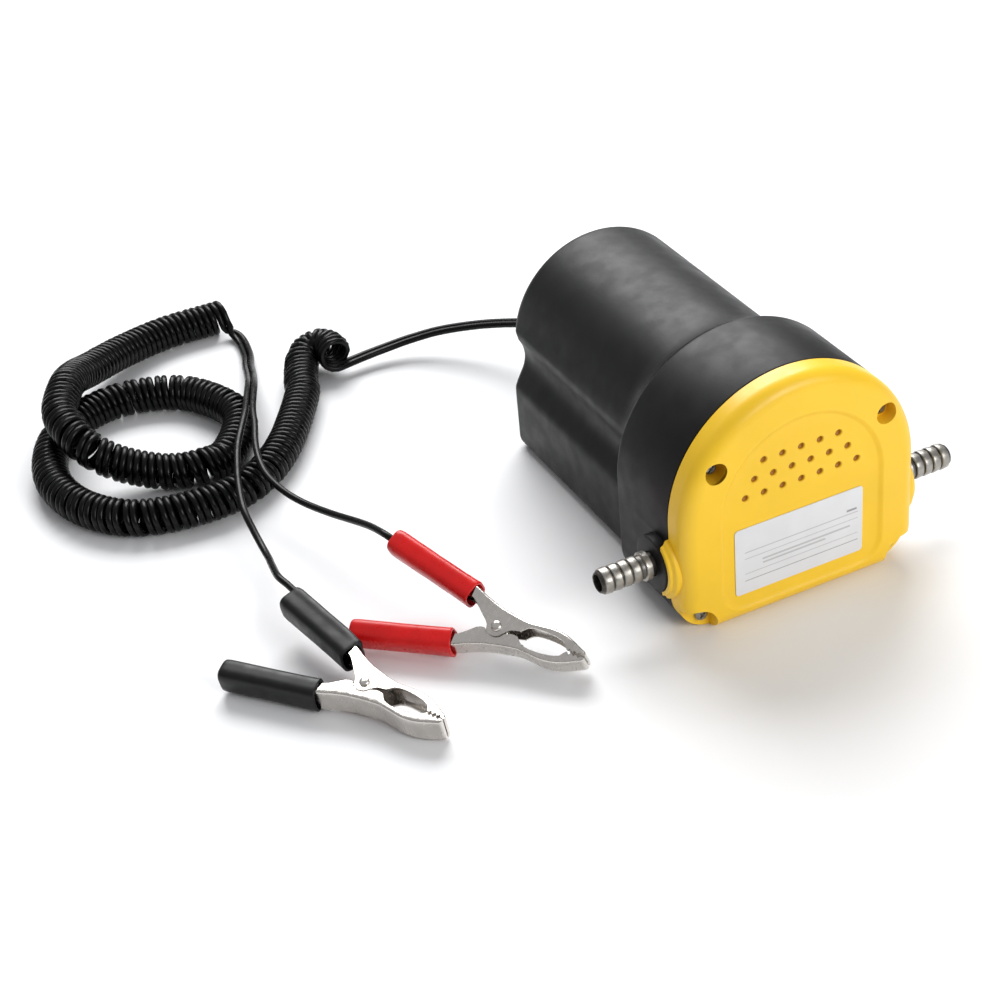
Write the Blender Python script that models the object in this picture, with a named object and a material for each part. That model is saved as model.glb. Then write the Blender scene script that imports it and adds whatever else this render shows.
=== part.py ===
"""Twelve volt fluid transfer pump: gear pump and motor in a moulded case, with a curly lead and two clips.

Metres, +Z up. The yellow cover faces -Y, the hose barbs point along X, and the case stands on z = 0.
"""

import math

import bmesh
import bpy
from mathutils import Matrix, Vector

MM = 0.001
GAP = 0.3 * MM

# Case: places along its length are depths behind the cover's front face.
FRONT_Y = -79 * MM
CASE_LENGTH = 155 * MM
ARCH_RADIUS = 50 * MM
ARCH_CENTRE_Z = 46 * MM
FOOT_CORNER = 14 * MM
COVER_DEPTH = 11.5 * MM
COVER_SHOULDER = 6 * MM
COVER_WALL = 2.5 * MM
NECK_START = 50 * MM
NECK_END = 65 * MM
HOUSING_WALL = 3 * MM
REAR_EDGE = 5 * MM
BARREL_RADIUS = 39.5 * MM
BARREL_CENTRE_Z = 50 * MM

# Hose barbs, and the collars that hold them.
BARB_DEPTH = 18 * MM
BARB_Z = 26.7 * MM
BARB_TIP_X = 76.3 * MM
BARB_BORE = 3.2 * MM
COLLAR_RADIUS = 10.8 * MM
COLLAR_X = 54 * MM

# Cover screws: (x, z, depth of the seat under the head).
UPPER_SCREW = (35.8 * MM, 69 * MM, 5.8 * MM)
LOWER_SCREW = (41 * MM, 6.5 * MM, 6 * MM)
SCREW_RADIUS = 1.45 * MM
SCREW_LENGTH = 17 * MM
HEAD_RADIUS = 2.65 * MM
HEAD_HEIGHT = 1.6 * MM

# Gear pump and motor, on the axis of the motor shaft.
SHAFT_Z = 50 * MM
SHAFT_RADIUS = 2.5 * MM
GEAR_MODULE = 1 * MM
GEAR_TEETH = 14
IDLER_Z = SHAFT_Z - GEAR_MODULE * GEAR_TEETH
IDLER_PIN_RADIUS = 2 * MM
CHAMBER_RADIUS = 8.15 * MM
BLOCK_FRONT = 10.7 * MM
BLOCK_BACK = 27 * MM
CHAMBER_BACK = 21 * MM
MOTOR_FRONT = 27.4 * MM
MOTOR_BACK = 97 * MM
MOTOR_RADIUS = 25 * MM
POLES = 7

# Rocker switch and lead on the rear face.
SWITCH_Z = 60 * MM
ROCKER_TILT = math.radians(10)
LEAD_EXIT_Z = 30 * MM
RELIEF_LENGTH = 17 * MM

# Lead: a flat twin cord, its curly stretch, and the two cores it splits into.
TWIN_DIAMETER = 5.6 * MM
COIL_DIAMETER = 15.6 * MM
CORE_DIAMETER = 2.9 * MM
SUPPLY_ROUTE = [
    (0, 93.6, 30), (-1.6, 104, 28.6), (-5, 118, 25.6), (-10.7, 132.2, 21.5), (-21.4, 148.3, 16.5),
    (-35, 162.2, 12), (-50, 170.2, 7.8), (-63, 171.2, 4.5), (-71, 167.4, 3.1), (-76.4, 164, 3.1),
]
COIL_ROUTE = [
    (-79, 168.6, 7.85), (-80.2, 177.5, 7.85), (-87, 183, 7.85), (-95.5, 178.5, 7.85), (-102, 165, 7.85),
    (-108.5, 149.5, 7.85), (-130.6, 116.6, 7.85), (-152.4, 98.5, 7.85), (-176.4, 94.9, 7.85),
    (-201.1, 101.8, 7.85), (-217, 121.6, 7.85), (-221.5, 148.1, 7.85), (-212.4, 175, 7.85),
    (-194, 190, 7.85), (-172, 193, 7.85), (-148.8, 181.2, 7.85), (-137.4, 151.6, 7.85), (-151.4, 126, 7.85),
    (-165, 122.6, 7.9), (-178.5, 125.9, 8.6), (-192.9, 133.8, 12.5), (-202.9, 141.7, 18),
    (-208.1, 153.4, 22.4), (-208.2, 171, 23.8), (-200.5, 189, 23.8), (-193, 203, 20), (-182.9, 214.7, 15),
    (-162.8, 230.3, 10), (-139.4, 238.9, 7.85), (-115.5, 238.8, 7.85),
]
TAIL_ROUTE = [
    (-111.6, 237, 3), (-109.6, 229, 3.1), (-110.4, 217, 3.2), (-113.2, 204, 4.2), (-117.6, 190.5, 7.2),
    (-122, 174.5, 11.8), (-126.6, 160, 16.6), (-132.4, 147.2, 18.8),
]
RED_ROUTE = [
    (-131.8, 143.6, 18.9), (-137.6, 126.5, 19.3), (-144, 109.2, 19), (-147.4, 95.7, 18.7),
    (-148.1, 85.3, 17.6), (-145.9, 74.2, 16), (-142.1, 62.8, 15.5), (-137.2, 46.7, 18),
    (-132.9, 27.3, 23.5), (-130.4, 15, 27.4), (-128.6, 5.6, 29.3),
]
BLACK_ROUTE = [
    (-134.8, 145.2, 18.9), (-142.6, 128.9, 19.3), (-150.8, 112, 19), (-157.2, 95.8, 18.7),
    (-162, 81, 18.4), (-165.1, 68.3, 17.2), (-165.8, 58, 14), (-165.4, 49, 11), (-165, 39.5, 10),
    (-165.6, 28.7, 11.6), (-167, 17.8, 14.6), (-168.8, 8.4, 16.6),
]

# Clips. A clip's pose is its rivet's centre, then its heading, its pitch and its roll in degrees.
RED_CLIP = ((-111.2, -48.9, 11.6), -53.7, -6.7, 32.3)
BLACK_CLIP = ((-165.1, -50.7, 8.4), -63.2, -3.1, 12.4)
SHEET = 1 * MM
JAW_HEIGHT = 10.5 * MM
HANDLE_HEIGHT = 7.6 * MM
SLEEVE_HEIGHT = 11.4 * MM
SLEEVE_WIDTH = 9.6 * MM
SLEEVE_WALL = 0.9 * MM
SLEEVE_FRONT = (-15 * MM, 9.9 * MM)
SLEEVE_REAR = (-52.6 * MM, 19.3 * MM)
RIVET_RADIUS = 1.6 * MM
EAR_RADIUS = 3.7 * MM


# ---------------------------------------------------------------- helpers

def mm(points):
    return [tuple(value * MM for value in point) for point in points]


def material(name, colour, roughness, metallic=0.0):
    look = bpy.data.materials.get(name)
    if look is None:
        look = bpy.data.materials.new(name)
        look.use_nodes = True
        shader = look.node_tree.nodes["Principled BSDF"]
        shader.inputs["Base Color"].default_value = (*colour, 1)
        shader.inputs["Roughness"].default_value = roughness
        shader.inputs["Metallic"].default_value = metallic
        look.diffuse_color = (*colour, 1)
    return look


def yellow_plastic():
    return material("yellow_plastic", (0.95, 0.62, 0.04), 0.4)


def black_plastic():
    return material("black_plastic", (0.025, 0.025, 0.027), 0.5)


def white_vinyl():
    return material("white_vinyl", (0.85, 0.85, 0.86), 0.4)


def black_vinyl():
    return material("black_vinyl", (0.015, 0.015, 0.016), 0.3)


def red_vinyl():
    return material("red_vinyl", (0.75, 0.02, 0.02), 0.3)


def black_rubber():
    return material("black_rubber", (0.02, 0.02, 0.02), 0.7)


def nickel():
    return material("nickel", (0.62, 0.6, 0.57), 0.25, 1.0)


def zinc_steel():
    return material("zinc_steel", (0.45, 0.44, 0.42), 0.35, 1.0)


def dark_steel():
    return material("dark_steel", (0.2, 0.2, 0.2), 0.4, 1.0)


def copper():
    return material("copper", (0.75, 0.33, 0.18), 0.35, 1.0)


def pump_plastic():
    return material("pump_plastic", (0.06, 0.06, 0.065), 0.45)


def carbon():
    return material("carbon", (0.03, 0.03, 0.03), 0.6)


def placed(name, bm, look, parent=None):
    """The finished bmesh as a named object with outward faces, smooth but for its edges."""
    bmesh.ops.recalc_face_normals(bm, faces=bm.faces)
    mesh = bpy.data.meshes.new(name)
    bm.to_mesh(mesh)
    bm.free()
    mesh.shade_smooth()
    mesh.set_sharp_from_angle(angle=math.radians(35))
    mesh.materials.append(look)
    thing = bpy.data.objects.new(name, mesh)
    bpy.context.scene.collection.objects.link(thing)
    thing.parent = parent
    return thing


def lofted(name, rings, look, parent=None):
    """Rings of equally many points joined in order, with the first and the last one filled."""
    bm = bmesh.new()
    rows = [[bm.verts.new(point) for point in ring] for ring in rings]
    for row, following in zip(rows, rows[1:]):
        for i in range(len(row)):
            j = (i + 1) % len(row)
            bm.faces.new((row[i], row[j], following[j], following[i]))
    bm.faces.new(rows[0])
    bm.faces.new(rows[-1])
    return placed(name, bm, look, parent)


def prism(name, outline, low, high, look, parent=None):
    """A flat outline in local x and y, made solid from local z low to high."""
    rings = [[(x, y, z) for x, y in outline] for z in (low, high)]
    return lofted(name, rings, look, parent)


def prism_along_y(name, outline, front, back, look):
    """An outline in x and z, made solid between two depths behind the cover's front."""
    thing = prism(name, outline, 0, back - front, look)
    thing.rotation_euler = (math.pi / 2, 0, 0)
    thing.location = (0, FRONT_Y + back, 0)
    return thing


def turned(name, profile, look, steps=16, parent=None):
    """A profile of (along, radius) turned about local z. A profile off the axis closes on itself."""
    bm = bmesh.new()
    corners = [bm.verts.new((radius, 0, along)) for along, radius in profile]
    edges = [bm.edges.new(pair) for pair in zip(corners, corners[1:])]
    if min(radius for along, radius in profile) > 0:
        edges.append(bm.edges.new((corners[-1], corners[0])))
    bmesh.ops.spin(bm, geom=corners + edges, cent=(0, 0, 0), axis=(0, 0, 1), angle=2 * math.pi, steps=steps)
    bmesh.ops.remove_doubles(bm, verts=bm.verts, dist=1e-6)
    return placed(name, bm, look, parent)


def turned_along_y(name, profile, look, x=0.0, z=SHAFT_Z, steps=16):
    """A profile of (depth, radius) turned about an axis that runs along the case."""
    thing = turned(name, profile, look, steps)
    thing.rotation_euler = (-math.pi / 2, 0, 0)
    thing.location = (x, FRONT_Y, z)
    return thing


def turned_along_x(name, profile, look, side, steps=16):
    """A profile of (distance from the middle, radius) turned about a hose barb's axis."""
    thing = turned(name, profile, look, steps)
    thing.rotation_euler = (0, side * math.pi / 2, 0)
    thing.location = (0, FRONT_Y + BARB_DEPTH, BARB_Z)
    return thing


def cylinder(start, end, radius):
    return [(start, 0), (start, radius), (end, radius), (end, 0)]


def ring(start, end, inner, outer):
    return [(start, inner), (start, outer), (end, outer), (end, inner)]


def circle(x, y, radius, count=16, start=0.0, sweep=2 * math.pi):
    """Points along an arc. A whole turn leaves out the point that would repeat the first one."""
    steps = count if abs(sweep - 2 * math.pi) < 1e-9 else count - 1
    angles = [start + sweep * i / steps for i in range(count)]
    return [(x + radius * math.cos(angle), y + radius * math.sin(angle)) for angle in angles]


def capsule(x, y, angle, length, radius, count=7):
    """A round-ended slot from one point, along a direction."""
    far_x = x + length * math.cos(angle)
    far_y = y + length * math.sin(angle)
    near_end = circle(x, y, radius, count, angle + math.pi / 2, math.pi)
    far_end = circle(far_x, far_y, radius, count, angle - math.pi / 2, math.pi)
    return near_end + far_end


def rectangle(half_x, half_y, x=0.0, y=0.0):
    return [(x + i * half_x, y + j * half_y) for i, j in ((-1, -1), (1, -1), (1, 1), (-1, 1))]


def rotated(points, angle):
    """Points turned about (0, 0)."""
    cosine = math.cos(angle)
    sine = math.sin(angle)
    return [(x * cosine - y * sine, x * sine + y * cosine) for x, y in points]


def combine(thing, other, operation):
    """Joins or cuts a helper shape, which stays out of the renders."""
    change = thing.modifiers.new(operation.lower(), "BOOLEAN")
    change.object = other
    change.operation = operation
    other.hide_render = True
    other.display_type = "WIRE"


def cut(thing, *others):
    for other in others:
        combine(thing, other, "DIFFERENCE")


def join(thing, *others):
    for other in others:
        combine(thing, other, "UNION")


def empty(name, location=(0, 0, 0)):
    thing = bpy.data.objects.new(name, None)
    thing.location = location
    bpy.context.scene.collection.objects.link(thing)
    return thing


def smooth_route(points, spacing):
    """Points on a smooth curve through a route, a steady distance apart."""
    route = [Vector(point) for point in mm(points)]
    ends = [2 * route[0] - route[1], *route, 2 * route[-1] - route[-2]]
    fine = []
    for a, b, c, d in zip(ends, ends[1:], ends[2:], ends[3:]):
        for step in range(12):
            t = step / 12
            bend = 2 * a - 5 * b + 4 * c - d
            twist = 3 * b - a - 3 * c + d
            fine.append(0.5 * (2 * b + (c - a) * t + bend * t**2 + twist * t**3))
    fine.append(route[-1])
    lengths = [0.0]
    for a, b in zip(fine, fine[1:]):
        lengths.append(lengths[-1] + (b - a).length)
    count = max(2, round(lengths[-1] / spacing))
    picked = []
    place = 0
    for i in range(count + 1):
        target = lengths[-1] * i / count
        while place < len(fine) - 2 and lengths[place + 1] < target:
            place += 1
        share = (target - lengths[place]) / (lengths[place + 1] - lengths[place])
        picked.append(fine[place].lerp(fine[place + 1], share))
    return picked


def tube(name, points, diameter, look, resolution, parent=None):
    curve = bpy.data.curves.new(name, "CURVE")
    curve.dimensions = "3D"
    curve.bevel_depth = diameter / 2
    curve.bevel_resolution = resolution
    curve.use_fill_caps = True
    curve.materials.append(look)
    spline = curve.splines.new("POLY")
    spline.points.add(len(points) - 1)
    for place, point in zip(spline.points, points):
        place.co = (*point, 1)
    thing = bpy.data.objects.new(name, curve)
    bpy.context.scene.collection.objects.link(thing)
    thing.parent = parent
    return thing


# ---------------------------------------------------------------- case outlines

def mirrored(half):
    """A whole outline in x and z, from its right half running from the foot's middle to the top's."""
    return half + [(-x, z) for x, z in reversed(half[1:-1])]


def foot(half_width, corner):
    flat = [(half_width - corner) * step / 2 for step in range(2)]
    return [(x, 0) for x in flat] + circle(half_width - corner, corner, corner, 4, -math.pi / 2, math.pi / 2)


def arch_outline():
    side = [(ARCH_RADIUS, FOOT_CORNER + (ARCH_CENTRE_Z - FOOT_CORNER) * step / 8) for step in range(1, 9)]
    top = circle(0, ARCH_CENTRE_Z, ARCH_RADIUS, 12, 0, math.pi / 2)[1:]
    return mirrored(foot(ARCH_RADIUS, FOOT_CORNER) + side + top)


def barrel_outline():
    side = [(41.3, 14), (41.3, 28), (40.6, 31), (38.8, 34.5), (36.8, 38.5)]
    side += [(35.9, 43), (36.6, 47.5), (38.4, 51.5)]
    start = math.asin(5 * MM / BARREL_RADIUS)
    top = circle(0, BARREL_CENTRE_Z, BARREL_RADIUS, 11, start, math.pi / 2 - start)
    return mirrored(foot(41.3 * MM, 6 * MM) + mm(side) + top)


def inset(outline, distance):
    """The outline moved inwards by a distance, point by point."""
    moved = []
    for i, (x, z) in enumerate(outline):
        before = Vector(outline[i - 1])
        after = Vector(outline[(i + 1) % len(outline)])
        along = (after - before).normalized()
        moved.append((x - along.y * distance, z + along.x * distance))
    return moved


def section(outline, depth):
    return [(x, FRONT_Y + depth, z) for x, z in outline]


def blended(depth, start, end):
    """The case outline on its way from the front arch to the rear barrel, along a hollow quarter round."""
    share = min(1.0, max(0.0, (depth - start) / (end - start)))
    weight = 1 - math.sqrt(max(0.0, 1 - (1 - share) ** 2))
    pairs = zip(arch_outline(), barrel_outline())
    return [(bx + (ax - bx) * weight, bz + (az - bz) * weight) for (ax, az), (bx, bz) in pairs]


def rounded_rear(outline, last_depth, radius, steps=3):
    """Sections that round an outline's rear edge."""
    sections = []
    for step in range(steps + 1):
        angle = math.pi / 2 * step / steps
        moved = inset(outline, radius * (1 - math.cos(angle)))
        sections.append(section(moved, last_depth - radius + radius * math.sin(angle)))
    return sections


# ---------------------------------------------------------------- housing and cover

def screw_places():
    """(x, z, seat depth, direction of the pocket's open side) for each cover screw."""
    places = []
    for side in (-1, 1):
        for (x, z, seat), lift in ((UPPER_SCREW, 45), (LOWER_SCREW, -60)):
            angle = math.radians(lift if side > 0 else 180 - lift)
            places.append((side * x, z, seat, angle))
    return places


def housing_cavity():
    neck_start = NECK_START - HOUSING_WALL
    neck_end = NECK_END - HOUSING_WALL
    arch = inset(arch_outline(), HOUSING_WALL)
    sections = [section(arch, COVER_DEPTH - 4 * MM), section(arch, neck_start)]
    for share in (0.05, 0.25, 0.55, 1.0):
        depth = neck_start + (neck_end - neck_start) * share
        sections.append(section(inset(blended(depth, neck_start, neck_end), HOUSING_WALL), depth))
    sections.append(section(inset(barrel_outline(), HOUSING_WALL), CASE_LENGTH - 6 * MM))
    sections.append(section(inset(barrel_outline(), HOUSING_WALL + 2.5 * MM), CASE_LENGTH - HOUSING_WALL))
    cavity = lofted("housing_cavity", sections, black_plastic())
    for x, z, seat, angle in screw_places():
        post = capsule(x, z, angle, 8 * MM, 4.4 * MM)
        cut(cavity, prism_along_y("housing_post", post, 0, 34 * MM, black_plastic()))
    return cavity


def barb_collar(side):
    collar = cylinder(45 * MM, COLLAR_X, COLLAR_RADIUS)
    return turned_along_x("barb_collar", collar, black_plastic(), side, 18)


def rear_housing():
    edge = 2.5 * MM
    start = COVER_DEPTH + GAP
    sections = [section(arch_outline(), start), section(arch_outline(), NECK_START - edge)]
    for angle in (math.radians(35), math.radians(70)):
        moved = inset(arch_outline(), edge * (1 - math.cos(angle)))
        sections.append(section(moved, NECK_START - edge + edge * math.sin(angle)))
    for share in (0.03, 0.12, 0.28, 0.5, 0.75, 1.0):
        depth = NECK_START + (NECK_END - NECK_START) * share
        sections.append(section(blended(depth, NECK_START, NECK_END), depth))
    sections += rounded_rear(barrel_outline(), CASE_LENGTH, REAR_EDGE)
    housing = lofted("rear_housing", sections, black_plastic())
    cut(housing, housing_cavity())
    for side in (-1, 1):
        join(housing, barb_collar(side))
        barb_hole = cylinder(40 * MM, 60 * MM, 4.9 * MM)
        cut(housing, turned_along_x("barb_hole", barb_hole, black_plastic(), side))
    for x, z, seat, angle in screw_places():
        bore = cylinder(0, 30 * MM, SCREW_RADIUS + GAP)
        cut(housing, turned_along_y("post_bore", bore, black_plastic(), x, z, 10))
    rear = CASE_LENGTH - 8 * MM
    switch_hole = rectangle(9.8 * MM, 6.6 * MM, 0, SWITCH_Z)
    cut(housing, prism_along_y("switch_hole", switch_hole, rear, CASE_LENGTH + 5 * MM, black_plastic()))
    lead_hole = cylinder(rear, CASE_LENGTH + 5 * MM, 4.6 * MM)
    cut(housing, turned_along_y("lead_hole", lead_hole, black_plastic(), 0, LEAD_EXIT_Z, 12))
    return housing


def panel_outline():
    """The cover's inner panel: an arch that shares the case's centre."""
    half_width = 33 * MM
    low = 7 * MM
    corner = 9 * MM
    right = circle(half_width - corner, low + corner, corner, 5, -math.pi / 2, math.pi / 2)
    left = circle(corner - half_width, low + corner, corner, 5, math.pi, math.pi / 2)
    return left + right + circle(0, ARCH_CENTRE_Z, half_width, 19, 0, math.pi)


def corner_circle(x, radius):
    """A circle over the cover's lower corner on the side of x."""
    return circle(math.copysign(45.5 * MM, x), 3 * MM, radius, 20)


def cover_cavity():
    inner_radius = COVER_SHOULDER - COVER_WALL
    sections = [section(inset(arch_outline(), COVER_WALL), COVER_DEPTH + 5 * MM)]
    for angle in (0, math.radians(45), math.radians(90)):
        moved = inset(arch_outline(), COVER_WALL + inner_radius * (1 - math.cos(angle)))
        sections.append(section(moved, COVER_SHOULDER - inner_radius * math.sin(angle)))
    cavity = lofted("cover_cavity", sections, yellow_plastic())
    for x, z, seat, angle in screw_places():
        wall = capsule(x, z, angle, 10 * MM, 5.4 * MM) if z == UPPER_SCREW[1] else corner_circle(x, 10.4 * MM)
        cut(cavity, prism_along_y("pocket_wall", wall, -2 * MM, 20 * MM, yellow_plastic()))
    return cavity


def hose_lip(side):
    """The half-round lip that the cover carries round each collar, stepped down on its outside."""
    profile = mm([(43, 0), (43, 14.6), (51.6, 14.6), (52.3, 13.2), (53.4, 12.6), (53.4, 0)])
    lip = turned_along_x("hose_lip", profile, yellow_plastic(), side, 24)
    behind = rectangle(70 * MM, 30 * MM, 0, 30 * MM)
    cut(lip, prism_along_y("behind_seam", behind, COVER_DEPTH, 50 * MM, yellow_plastic()))
    return lip


def vent_places():
    rows = [(7, 53.5 * MM), (6, 60.4 * MM), (5, 67.3 * MM)]
    pitch = 7.9 * MM
    return [((i - (count - 1) / 2) * pitch, z) for count, z in rows for i in range(count)]


def vent_cutter():
    bm = bmesh.new()
    size = {"segments": 8, "radius1": 1.3 * MM, "radius2": 1.3 * MM, "depth": 12 * MM}
    for x, z in vent_places():
        turn = Matrix.Translation((x, FRONT_Y, z)) @ Matrix.Rotation(math.pi / 2, 4, "X")
        bmesh.ops.create_cone(bm, cap_ends=True, matrix=turn, **size)
    return placed("vent_cutter", bm, yellow_plastic())


def front_cover():
    sections = [section(arch_outline(), COVER_DEPTH)]
    for step in range(5):
        angle = math.pi / 2 * step / 4
        moved = inset(arch_outline(), COVER_SHOULDER * (1 - math.cos(angle)))
        sections.append(section(moved, COVER_SHOULDER * (1 - math.sin(angle))))
    cover = lofted("front_cover", sections, yellow_plastic())
    cut(cover, cover_cavity())
    for side in (-1, 1):
        join(cover, hose_lip(side))
        opening = cylinder(40 * MM, 60 * MM, COLLAR_RADIUS + 0.5 * MM)
        cut(cover, turned_along_x("collar_opening", opening, yellow_plastic(), side, 18))
    panel = panel_outline()
    sunk = [section(inset(panel, -3 * MM), -1 * MM), section(panel, 1 * MM)]
    cut(cover, lofted("panel_cutter", sunk, yellow_plastic()), vent_cutter())
    for x, z, seat, angle in screw_places():
        if z == UPPER_SCREW[1]:
            pocket = circle(x, z, 4.3 * MM, 18)
        else:
            pocket = corner_circle(x, 8.8 * MM)
        cut(cover, prism_along_y("screw_pocket", pocket, -5 * MM, seat, yellow_plastic()))
        clearance = cylinder(0, 20 * MM, SCREW_RADIUS + GAP)
        cut(cover, turned_along_y("screw_clearance", clearance, yellow_plastic(), x, z, 10))
    return cover


def cross_recess(screw, head_start, x, z):
    """A cross-shaped driver recess in a screw head."""
    for angle in (math.pi / 4, 3 * math.pi / 4):
        bar = rotated(rectangle(1.5 * MM, 0.38 * MM), angle)
        bar = [(x + bar_x, z + bar_z) for bar_x, bar_z in bar]
        cut(screw, prism_along_y("cross_bar", bar, head_start - 1 * MM, head_start + 0.9 * MM, nickel()))


def screw_profile(head_start, head_height, head_radius, shank_end, shank_radius):
    """A pan head with a rounded crown and a pointed shank, as (depth, radius)."""
    seat = head_start + head_height
    return [
        (head_start, 0), (head_start, head_radius * 0.6),
        (head_start + head_height * 0.35, head_radius * 0.92), (seat - head_height * 0.2, head_radius),
        (seat, head_radius), (seat, shank_radius),
        (shank_end - 1.2 * MM, shank_radius), (shank_end, 0),
    ]


def cover_screws():
    for number, (x, z, seat, angle) in enumerate(screw_places(), 1):
        head_start = seat - GAP - HEAD_HEIGHT
        profile = screw_profile(head_start, HEAD_HEIGHT, HEAD_RADIUS, seat + SCREW_LENGTH, SCREW_RADIUS)
        screw = turned_along_y(f"cover_screw_{number}", profile, zinc_steel(), x, z, 12)
        cross_recess(screw, head_start, x, z)


def rating_label():
    half_width = 27.5 * MM
    half_height = 14.5 * MM
    corner = 1.5 * MM
    outline = []
    for turn, (x, z) in enumerate(((1, -1), (1, 1), (-1, 1), (-1, -1))):
        centre_x = -1.2 * MM + x * (half_width - corner)
        centre_z = 26.4 * MM + z * (half_height - corner)
        outline += circle(centre_x, centre_z, corner, 4, (turn - 1) * math.pi / 2, math.pi / 2)
    prism_along_y("rating_label", outline, 0.35 * MM, 0.75 * MM, white_vinyl())


def hose_barb(name, side):
    """A steel hose tail with four saw-tooth ridges, a shoulder outside the collar and a plain inner end."""
    outside = [(20.4, 4.5), (55.8, 4.5), (55.8, 5.6), (58.2, 5.6), (58.6, 4.6)]
    for ridge in range(4):
        start = 60.2 + ridge * 3.9
        outside += [(start, 5.15), (start + 3.4, 4.35)]
    outside += [(BARB_TIP_X / MM - 0.5, 4.1), (BARB_TIP_X / MM, 3.8)]
    profile = mm(outside) + [(BARB_TIP_X, BARB_BORE), (20.4 * MM, BARB_BORE)]
    turned_along_x(name, profile, zinc_steel(), side, 14)


# ---------------------------------------------------------------- gear pump

def gear_outline(first_tooth):
    """Involute teeth with a little backlash, the first one centred on an angle."""
    pitch_radius = GEAR_MODULE * GEAR_TEETH / 2
    base_radius = pitch_radius * math.cos(math.radians(20))
    root_radius = pitch_radius - 1.4 * GEAR_MODULE
    tip_radius = pitch_radius + 0.8 * GEAR_MODULE
    half_pitch_tooth = (math.pi * GEAR_MODULE / 2 - 0.3 * MM) / (2 * pitch_radius)
    spread = math.tan(math.radians(20)) - math.radians(20)
    flank = []
    for radius in (pitch_radius, tip_radius):
        pressure = math.acos(base_radius / radius)
        flank.append((radius, half_pitch_tooth + spread - (math.tan(pressure) - pressure)))
    flank.insert(0, (root_radius, half_pitch_tooth + spread))
    points = []
    for tooth in range(GEAR_TEETH):
        middle = first_tooth + tooth * 2 * math.pi / GEAR_TEETH
        for radius, half in flank:
            points.append((radius, middle - half))
        for radius, half in reversed(flank):
            points.append((radius, middle + half))
    return [(radius * math.cos(angle), radius * math.sin(angle)) for radius, angle in points]


def gear(name, z, first_tooth, bore):
    body = prism(name, gear_outline(first_tooth), 0, 9.6 * MM, zinc_steel())
    body.rotation_euler = (math.pi / 2, 0, 0)
    body.location = (0, FRONT_Y + CHAMBER_BACK - GAP, z)
    cut(body, turned_along_y("gear_bore", cylinder(0, 40 * MM, bore), zinc_steel(), 0, z))


def block_outline(margin=0.0):
    return rectangle(26 * MM - margin, 21.4 * MM - margin, 0, 41 * MM)


def plate_screw_places():
    return [(side * 22.3 * MM, z) for side in (-1, 1) for z in (58.3 * MM, 37 * MM)]


def motor_screw_places():
    return [(side * 14.5 * MM, 55 * MM) for side in (-1, 1)]


def pump_body():
    """The block between the barbs: two gear pockets, a channel to each barb, a shaft bore and a seal seat."""
    body = prism_along_y("pump_body", block_outline(), BLOCK_FRONT, BLOCK_BACK, pump_plastic())
    look = pump_plastic()
    for z in (SHAFT_Z, IDLER_Z):
        pocket = cylinder(0, CHAMBER_BACK, CHAMBER_RADIUS)
        cut(body, turned_along_y("gear_pocket", pocket, look, 0, z, 24))
    for side in (-1, 1):
        channel = mm([(5, 40), (12, 40), (12, 23.7), (18, 23.7), (18, 46), (5, 46)])
        channel = [(side * x, z) for x, z in channel]
        cut(body, prism_along_y("channel", channel, 0, CHAMBER_BACK - 0.6 * MM, look))
        cut(body, turned_along_x("barb_socket", cylinder(20 * MM, 30 * MM, 4.8 * MM), look, side))
        cut(body, turned_along_x("port", cylinder(15 * MM, 22 * MM, BARB_BORE), look, side, 12))
    cut(body, turned_along_y("shaft_bore", cylinder(0, 40 * MM, SHAFT_RADIUS + GAP), look, 0, SHAFT_Z))
    cut(body, turned_along_y("seal_seat", cylinder(22.5 * MM, 40 * MM, 7 * MM), look, 0, SHAFT_Z))
    pin_bore = cylinder(0, 25 * MM, IDLER_PIN_RADIUS + 0.05 * MM)
    cut(body, turned_along_y("pin_bore", pin_bore, look, 0, IDLER_Z))
    for x, z in plate_screw_places():
        cut(body, turned_along_y("plate_screw_bore", cylinder(0, 24 * MM, 1.8 * MM), look, x, z, 10))
    for x, z in motor_screw_places():
        cut(body, turned_along_y("motor_screw_bore", cylinder(0, 40 * MM, 2 * MM), look, x, z, 10))
        cut(body, turned_along_y("motor_screw_seat", cylinder(0, 14 * MM, 3.4 * MM), look, x, z, 12))
    return body


def pump_gasket():
    gasket = prism_along_y("pump_gasket", block_outline(0.5 * MM), 9.9 * MM, 10.4 * MM, black_rubber())
    window = rectangle(18.8 * MM, 19 * MM, 0, 41 * MM)
    cut(gasket, prism_along_y("gasket_window", window, 0, 20 * MM, black_rubber()))
    for x, z in plate_screw_places():
        cut(gasket, turned_along_y("gasket_hole", cylinder(0, 20 * MM, 1.8 * MM), black_rubber(), x, z, 10))


def pump_plate():
    plate = prism_along_y("pump_plate", block_outline(), 6.6 * MM, 9.6 * MM, zinc_steel())
    for x, z in plate_screw_places():
        cut(plate, turned_along_y("plate_hole", cylinder(0, 20 * MM, 1.8 * MM), zinc_steel(), x, z, 10))


def plate_screws():
    for number, (x, z) in enumerate(plate_screw_places(), 1):
        profile = screw_profile(4.3 * MM, 2 * MM, 2.75 * MM, 22 * MM, 1.5 * MM)
        turned_along_y(f"plate_screw_{number}", profile, zinc_steel(), x, z, 10)


def motor_screws():
    for name, (x, z) in zip(("motor_screw_left", "motor_screw_right"), motor_screw_places()):
        profile = screw_profile(11.2 * MM, 2.5 * MM, 3.1 * MM, 32 * MM, 1.7 * MM)
        turned_along_y(name, profile, zinc_steel(), x, z, 10)


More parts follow.
